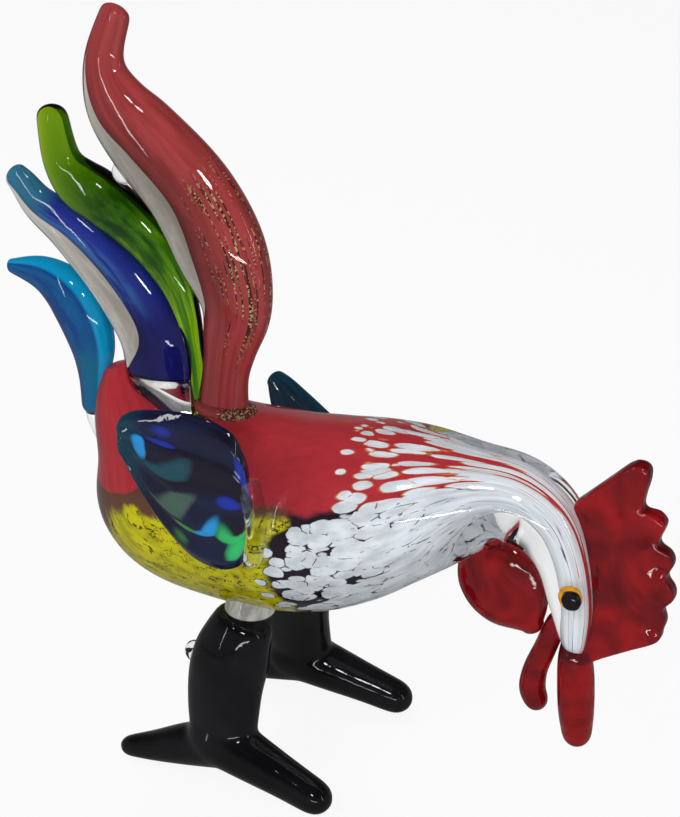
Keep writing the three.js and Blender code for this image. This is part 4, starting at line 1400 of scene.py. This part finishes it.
class ROOSTER_OT_cobalt_feather(bpy.types.Operator):
    """Draw the cobalt tail feather: a blue core in clear glass, on a clear foot"""

    bl_idname = "rooster.cobalt_feather"
    bl_label = "Cobalt Feather"

    def execute(self, context):
        scene = context.scene
        tail, colours = scene.rooster_tail, scene.rooster_colours
        base = back_top(scene.rooster_body, 0.64)
        rows = [
            (0.08, 0.07, 0.92),
            (0.25, 0.08, 0.95),
            (0.38, 0.15, 0.93),
            (0.55, 0.33, 0.85),
            (0.68, 0.52, 0.74),
            (0.77, 0.68, 0.63),
            (0.85, 0.86, 0.5),
            (0.93, 0.96, 0.4),
            (0.97, 1.02, 0.34),
        ]
        stations = feather_stations(tail, "cobalt", base, rows)
        foot_rows = [(-0.08, 0.03, 0.94), (0.03, 0.06, 0.94), (0.13, 0.07, 0.9)]
        foot = draw_out(feather_stations(tail, "cobalt", base, foot_rows), domes=(0.5, 0.25))
        settle(seat_on(foot, "body_casing"), "cobalt_feather_foot", "clear_glass", colours)
        swells = (0, 0.7, 1, 1, 0.85, 0.6, 0.3, 0.1, 0)
        core = draw_core(stations, tail.cobalt_clear, tail.wall, swells)
        seat_on(core, "cobalt_feather_foot", gap=0.0005)
        settle(core, "cobalt_feather_core", "cobalt_glass", colours)
        casing = seat_on(draw_out(stations, steps=4), "cobalt_feather_foot", "green_feather")
        settle(casing, "cobalt_feather_casing", "clear_glass", colours, "smoky_glass")
        return {"FINISHED"}


class ROOSTER_OT_aqua_feather(bpy.types.Operator):
    """Draw the aqua tail feather and the clear root that holds it to the stub"""

    bl_idname = "rooster.aqua_feather"
    bl_label = "Aqua Feather"

    def execute(self, context):
        scene = context.scene
        body, tail, colours = scene.rooster_body, scene.rooster_tail, scene.rooster_colours
        stub_rear = spot(-body.stub_back - body.stub_radius * 1.75, body.height + body.stub_rise * 0.6)
        rows = [
            (0, 0.02, 0.42),
            (0.27, -0.01, 0.57),
            (0.56, 0, 0.88),
            (0.86, 0.2, 0.98),
            (1.02, 0.6, 0.67),
            (1.04, 1.08, 0.26),
        ]
        feather = draw_out(feather_stations(tail, "aqua", stub_rear, rows), steps=5)
        settle(feather, "aqua_feather", "aqua_glass", colours)
        root_rows = [(0.02, 0, 0.36), (-0.1, -0.02, 0.34), (-0.25, -0.1, 0.24)]
        root = draw_out(feather_stations(tail, "aqua", stub_rear, root_rows))
        seat_on(root, "body_casing", "aqua_feather")
        settle(root, "aqua_feather_root", "clear_glass", colours)
        return {"FINISHED"}


# Wings


class ROOSTER_OT_wings(bpy.types.Operator):
    """Press the two ribbed wings and the clear tags that tie their front edges to the body"""

    bl_idname = "rooster.wings"
    bl_label = "Wings"

    def execute(self, context):
        scene = context.scene
        body, limbs, colours = scene.rooster_body, scene.rooster_limbs, scene.rooster_colours
        leaf_rows = [
            (0.5, -0.065, 0.68),
            (0.45, -0.06, 0.82),
            (0.3, -0.055, 0.92),
            (0.1, -0.03, 0.92),
            (-0.06, 0.01, 0.83),
            (-0.22, 0.07, 0.68),
            (-0.38, 0.155, 0.46),
            (-0.48, 0.21, 0.26),
        ]
        tag_rows = [(0.57, 0.03), (0.61, -0.18), (0.57, -0.4)]
        rearwards = -math.pi / 2

        def wing(name, side, depth, ahead, drop, pitch):
            def at(x, z):
                return Vector((limbs.wing_length * x, 0, depth * z))

            leaf_stations = [
                Station(at(x, z), depth / 2 * share, limbs.wing_thickness / 2 * min(1, 0.55 + share * 0.45))
                for x, z, share in leaf_rows
            ]
            leaf = draw_out(
                leaf_stations, sides=40, turn=rearwards, ribs=(limbs.wing_ribs, limbs.wing_rib_rise)
            )
            tag_stations = [Station(at(x, z), limbs.tag_radius, limbs.tag_radius * 2) for x, z in tag_rows]
            tag = draw_out(tag_stations, sides=12)
            place = spot(
                ahead - limbs.wing_back,
                body.height + limbs.wing_rise - drop,
                side * (body.radius + limbs.wing_stand_off),
            )
            turn = Euler((-side * limbs.wing_tilt, pitch, -side * limbs.wing_flare), "YXZ")
            for piece in (leaf, tag):
                pick(piece)
                piece.rotation_mode = "YXZ"
                piece.rotation_euler = turn
                piece.location = place
                bpy.ops.object.transform_apply(location=True, rotation=True, scale=True)
            settle(seat_on(leaf, "body_casing"), f"{name}_wing", "wing_glass", colours)
            seat_on(tag, "body_casing", f"{name}_wing")
            settle(tag, f"{name}_wing_weld", "clear_glass", colours, "thin_glass")

        wing("right", -1, limbs.wing_depth, 0, 0, 0)
        wing(
            "left",
            1,
            limbs.left_wing_depth,
            limbs.left_wing_ahead,
            limbs.left_wing_drop,
            limbs.left_wing_pitch,
        )
        return {"FINISHED"}


# Legs


class ROOSTER_OT_legs(bpy.types.Operator):
    """Draw the clear hip gathers, the black shins and feet and the beads behind the shins"""

    bl_idname = "rooster.legs"
    bl_label = "Legs"

    def execute(self, context):
        scene = context.scene
        body, limbs, colours = scene.rooster_body, scene.rooster_limbs, scene.rooster_colours
        for name, side in (("right", -1), ("left", 1)):
            self.leg(name, side, body, limbs, colours)
        return {"FINISHED"}

    def leg(self, name, side, body, limbs, colours):
        foot_side, hip_side = side * limbs.stance / 2, side * limbs.hip_spread / 2
        belly = body.height - math.sqrt(body.radius**2 - hip_side**2)
        hip = spot(limbs.hip_ahead, belly, hip_side)
        ankle = spot(-limbs.ankle_height * 0.1, limbs.ankle_height, foot_side)

        shin_rows = [
            (0.07, 0.76, 0.86),
            (0.2, 0.89, 0.97),
            (0.38, 1.03, 1.06),
            (0.58, 1.02, 1),
            (0.8, 0.97, 0.96),
            (0.96, 0.9, 0.92),
        ]
        shin_stations = []
        for share, wide, thick in shin_rows:
            bow = Vector((-limbs.knee_back * math.sin(math.pi * share), 0, 0))
            at = hip.lerp(ankle, share) + bow
            shin_stations.append(Station(at, limbs.leg_width / 2 * wide, limbs.leg_thickness / 2 * thick))

        def toe(reach, turn_out, radius, rows):
            stations = []
            for out, rise, share in rows:
                z = mix(radius - limbs.pad_depth, limbs.ankle_height, rise)
                at = Vector((ankle.x + reach * out, ankle.y + side * turn_out * out, z))
                stations.append(Station(at, radius * share, radius * share))
            return draw_out(stations)

        parts = [
            draw_out(shin_stations, domes=(0.25, 1)),
            toe(
                limbs.front_toe - limbs.toe_radius,
                limbs.toe_out,
                limbs.toe_radius,
                [(-0.1, 1, 1.6), (0.32, 0.62, 1.36), (0.68, 0.3, 1.14), (1, 0, 1)],
            ),
            toe(
                limbs.back_toe_radius - limbs.back_toe,
                0,
                limbs.back_toe_radius,
                [(-0.1, 0.92, 2.3), (0.36, 0.56, 1.95), (0.7, 0.24, 1.45), (1, 0, 1)],
            ),
        ]
        foot = melt_together(parts, voxel=0.0009, rounds=14)
        shin = copy_of(foot)
        seam = limbs.ankle_height * 1.5
        cut_away(foot, seam, keep_above=False)
        cut_away(foot, 0.0, keep_above=True)
        cut_away(shin, seam, keep_above=True)
        settle(foot, f"{name}_foot", "black_glass", colours)
        settle(shin, f"{name}_shin", "black_glass", colours)

        hip_stations = []
        for rise, wide, thick in ((0.9, 0.95, 0.85), (0.4, 1, 0.9), (0.06, 1, 0.9)):
            at = hip + Vector((0, -side * rise * 0.5, rise)) * limbs.hip_depth
            hip_stations.append(Station(at, limbs.hip_width / 2 * wide, limbs.hip_width / 2 * thick))
        gather = seat_on(draw_out(hip_stations, domes=(1, 0.3)), "body_casing", f"{name}_shin")
        settle(gather, f"{name}_hip_gather", "clear_glass", colours, "milky_glass")

        heel = hip.lerp(ankle, 0.4) - Vector((limbs.leg_width * 0.5 + limbs.knee_back, 0, 0))
        spur = bead(heel, limbs.spur_radius, limbs.spur_radius)
        settle(spur, f"{name}_spur", "clear_glass", colours)


# Stage

# How much of the floor glows, to the camera and through glass
FLOOR_GLOW = 0.9
# What a gloss sees of that glow, how far it sees the floor darkened, and its share of the room.
# White all round would veil the dark and the coloured glass.
MIRRORED_GLOW = 0.12
MIRRORED_DIM = 0.85
MIRRORED_ROOM = 0.25
# What the lamps point at
LAMP_AIM = Vector((0, 0, 0.1))
# The camera, from the bird's own zero, and how it is turned
CAMERA_PLACE = spot(0.30507, 0.45200, -0.59659)
CAMERA_AZIMUTH = math.radians(25)
CAMERA_ELEVATION = math.radians(26)


def mirrored_ray(tree, light):
    """1 for a ray off a gloss. Sharp glass marks the rays that pass through it as glossy too."""
    return math_node(tree, "SUBTRACT", light.outputs["Is Glossy Ray"], light.outputs["Is Transmission Ray"])


class ROOSTER_OT_stage(bpy.types.Operator):
    """Set the floor, the soft studio light and the camera"""

    bl_idname = "rooster.stage"
    bl_label = "Stage"

    def execute(self, context):
        scene, stage = context.scene, context.scene.rooster_stage
        scene.view_settings.view_transform = "Standard"
        self.floor(stage)
        self.world(scene)
        # Each lamp's name, place, size and power, and whether a gloss shows it
        for name, place, size, strength, mirrored in (
            ("key", (-0.55, -0.75, 0.95), (0.8, 0.8), stage.key_power, False),
            ("fill", (0.85, -0.55, 0.55), (0.6, 0.6), stage.fill_power, False),
            ("top", (-0.35, 0.40, 0.90), (0.4, 0.4), stage.top_power, False),
            ("flash", (0.26, -0.62, 0.52), (0.1, 0.1), stage.sparkle_power * 2, True),
            ("sparkle", (-0.05, -0.70, 0.75), (0.09, 0.09), stage.sparkle_power, True),
            ("right_strip", (0.80, -0.20, 0.32), (0.03, 0.5), stage.sparkle_power, True),
            ("left_strip", (-0.42, -0.75, 0.32), (0.03, 0.5), stage.sparkle_power, True),
            ("low_strip", (0.24, -0.58, 0.05), (0.35, 0.03), stage.sparkle_power, True),
        ):
            self.lamp(scene, name, Vector(place), size, strength, mirrored)
        self.camera(scene, stage)
        return {"FINISHED"}

    def floor(self, stage):
        clear_selection()
        bpy.ops.mesh.primitive_plane_add(size=12)
        floor = bpy.context.object
        floor.name = floor.data.name = "floor"
        material, tree, output = new_material("floor")
        grain = noise(tree, own_place(tree), 3.0)["Fac"]
        base = blend(tree, grain, stage.floor, shade_of(stage.floor, 0.985))
        light = put(tree, "LightPath")
        mirrored = mirrored_ray(tree, light)
        dim = math_node(tree, "MULTIPLY", mirrored, MIRRORED_DIM)
        matte = put(tree, "BsdfDiffuse", {"Color": blend(tree, dim, base, (0.1, 0.1, 0.1))})
        glow = put(tree, "Emission", {"Color": (1, 1, 1, 1), "Strength": 1.0})
        faint = math_node(tree, "MULTIPLY", mirrored, MIRRORED_GLOW)
        seen = math_node(tree, "MAXIMUM", light.outputs["Is Camera Ray"], faint)
        seen = math_node(tree, "MAXIMUM", seen, light.outputs["Is Transmission Ray"])
        share = math_node(tree, "MULTIPLY", seen, FLOOR_GLOW)
        both = put(tree, "MixShader", {0: share, 1: matte.outputs[0], 2: glow.outputs[0]})
        tree.links.new(both.outputs[0], output.inputs["Surface"])
        floor.data.materials.append(material)

    def world(self, scene):
        world = bpy.data.worlds.new("studio")
        scene.world = world
        world.use_nodes = True
        tree = world.node_tree
        tree.nodes.clear()
        output = tree.nodes.new("ShaderNodeOutputWorld")
        towards = put(tree, "SeparateXYZ", {0: put(tree, "TexCoord").outputs["Generated"]})
        rise = ramp_up(tree, towards.outputs["Z"], 0.1, 0.5)
        light = put(tree, "LightPath")
        strength = ramp_up(tree, mirrored_ray(tree, light), 0.0, 1.0, 1.0, MIRRORED_ROOM, smooth=False)
        shade = blend(tree, rise, (0.9, 0.9, 0.9), (0.2, 0.2, 0.2))
        room = put(tree, "Background", {"Color": shade, "Strength": strength})
        tree.links.new(room.outputs[0], output.inputs["Surface"])

    def lamp(self, scene, name, place, size, strength, mirrored):
        light = bpy.data.lights.new(name, "AREA")
        light.shape = "ELLIPSE"
        light.size, light.size_y = size
        light.energy = strength
        lamp = bpy.data.objects.new(name, light)
        lamp.location = place
        lamp.visible_glossy = mirrored
        lamp.rotation_euler = (LAMP_AIM - place).to_track_quat("-Z", "Y").to_euler()
        scene.collection.objects.link(lamp)

    def camera(self, scene, stage):
        camera = bpy.data.cameras.new("camera")
        camera.lens = stage.lens
        eye = bpy.data.objects.new("camera", camera)
        eye.location = CAMERA_PLACE
        eye.rotation_euler = (math.pi / 2 - CAMERA_ELEVATION, 0, CAMERA_AZIMUTH)
        scene.collection.objects.link(eye)
        scene.camera = eye


OPERATORS = (
    ROOSTER_OT_body,
    ROOSTER_OT_comb,
    ROOSTER_OT_wattle_and_beak,
    ROOSTER_OT_eyes,
    ROOSTER_OT_red_feather,
    ROOSTER_OT_green_feather,
    ROOSTER_OT_cobalt_feather,
    ROOSTER_OT_aqua_feather,
    ROOSTER_OT_wings,
    ROOSTER_OT_legs,
    ROOSTER_OT_stage,
)


class ROOSTER_PT_pieces(bpy.types.Panel):
    """Lists the rooster's pieces in the order they are made"""

    bl_idname = "ROOSTER_PT_pieces"
    bl_label = "Glass Rooster"
    bl_space_type = "VIEW_3D"
    bl_region_type = "UI"
    bl_category = "Rooster"

    def draw(self, context):
        for operator in OPERATORS:
            self.layout.operator(operator.bl_idname)


GROUPS = {
    "rooster_body": RoosterBodySizes,
    "rooster_tail": RoosterTailSizes,
    "rooster_limbs": RoosterLimbSizes,
    "rooster_colours": RoosterColours,
    "rooster_stage": RoosterStageSettings,
}
CLASSES = (*GROUPS.values(), *OPERATORS, ROOSTER_PT_pieces)


def register():
    for cls in CLASSES:
        bpy.utils.register_class(cls)
    for name, group in GROUPS.items():
        setattr(bpy.types.Scene, name, PointerProperty(type=group))


def unregister():
    for name in GROUPS:
        delattr(bpy.types.Scene, name)
    for cls in reversed(CLASSES):
        bpy.utils.unregister_class(cls)


def main():
    register()
    bpy.ops.rooster.body()
    bpy.ops.rooster.comb()
    bpy.ops.rooster.wattle_and_beak()
    bpy.ops.rooster.eyes()
    bpy.ops.rooster.red_feather()
    bpy.ops.rooster.green_feather()
    bpy.ops.rooster.cobalt_feather()
    bpy.ops.rooster.aqua_feather()
    bpy.ops.rooster.wings()
    bpy.ops.rooster.legs()
    bpy.ops.rooster.stage()


if __name__ == "__main__":
    main()
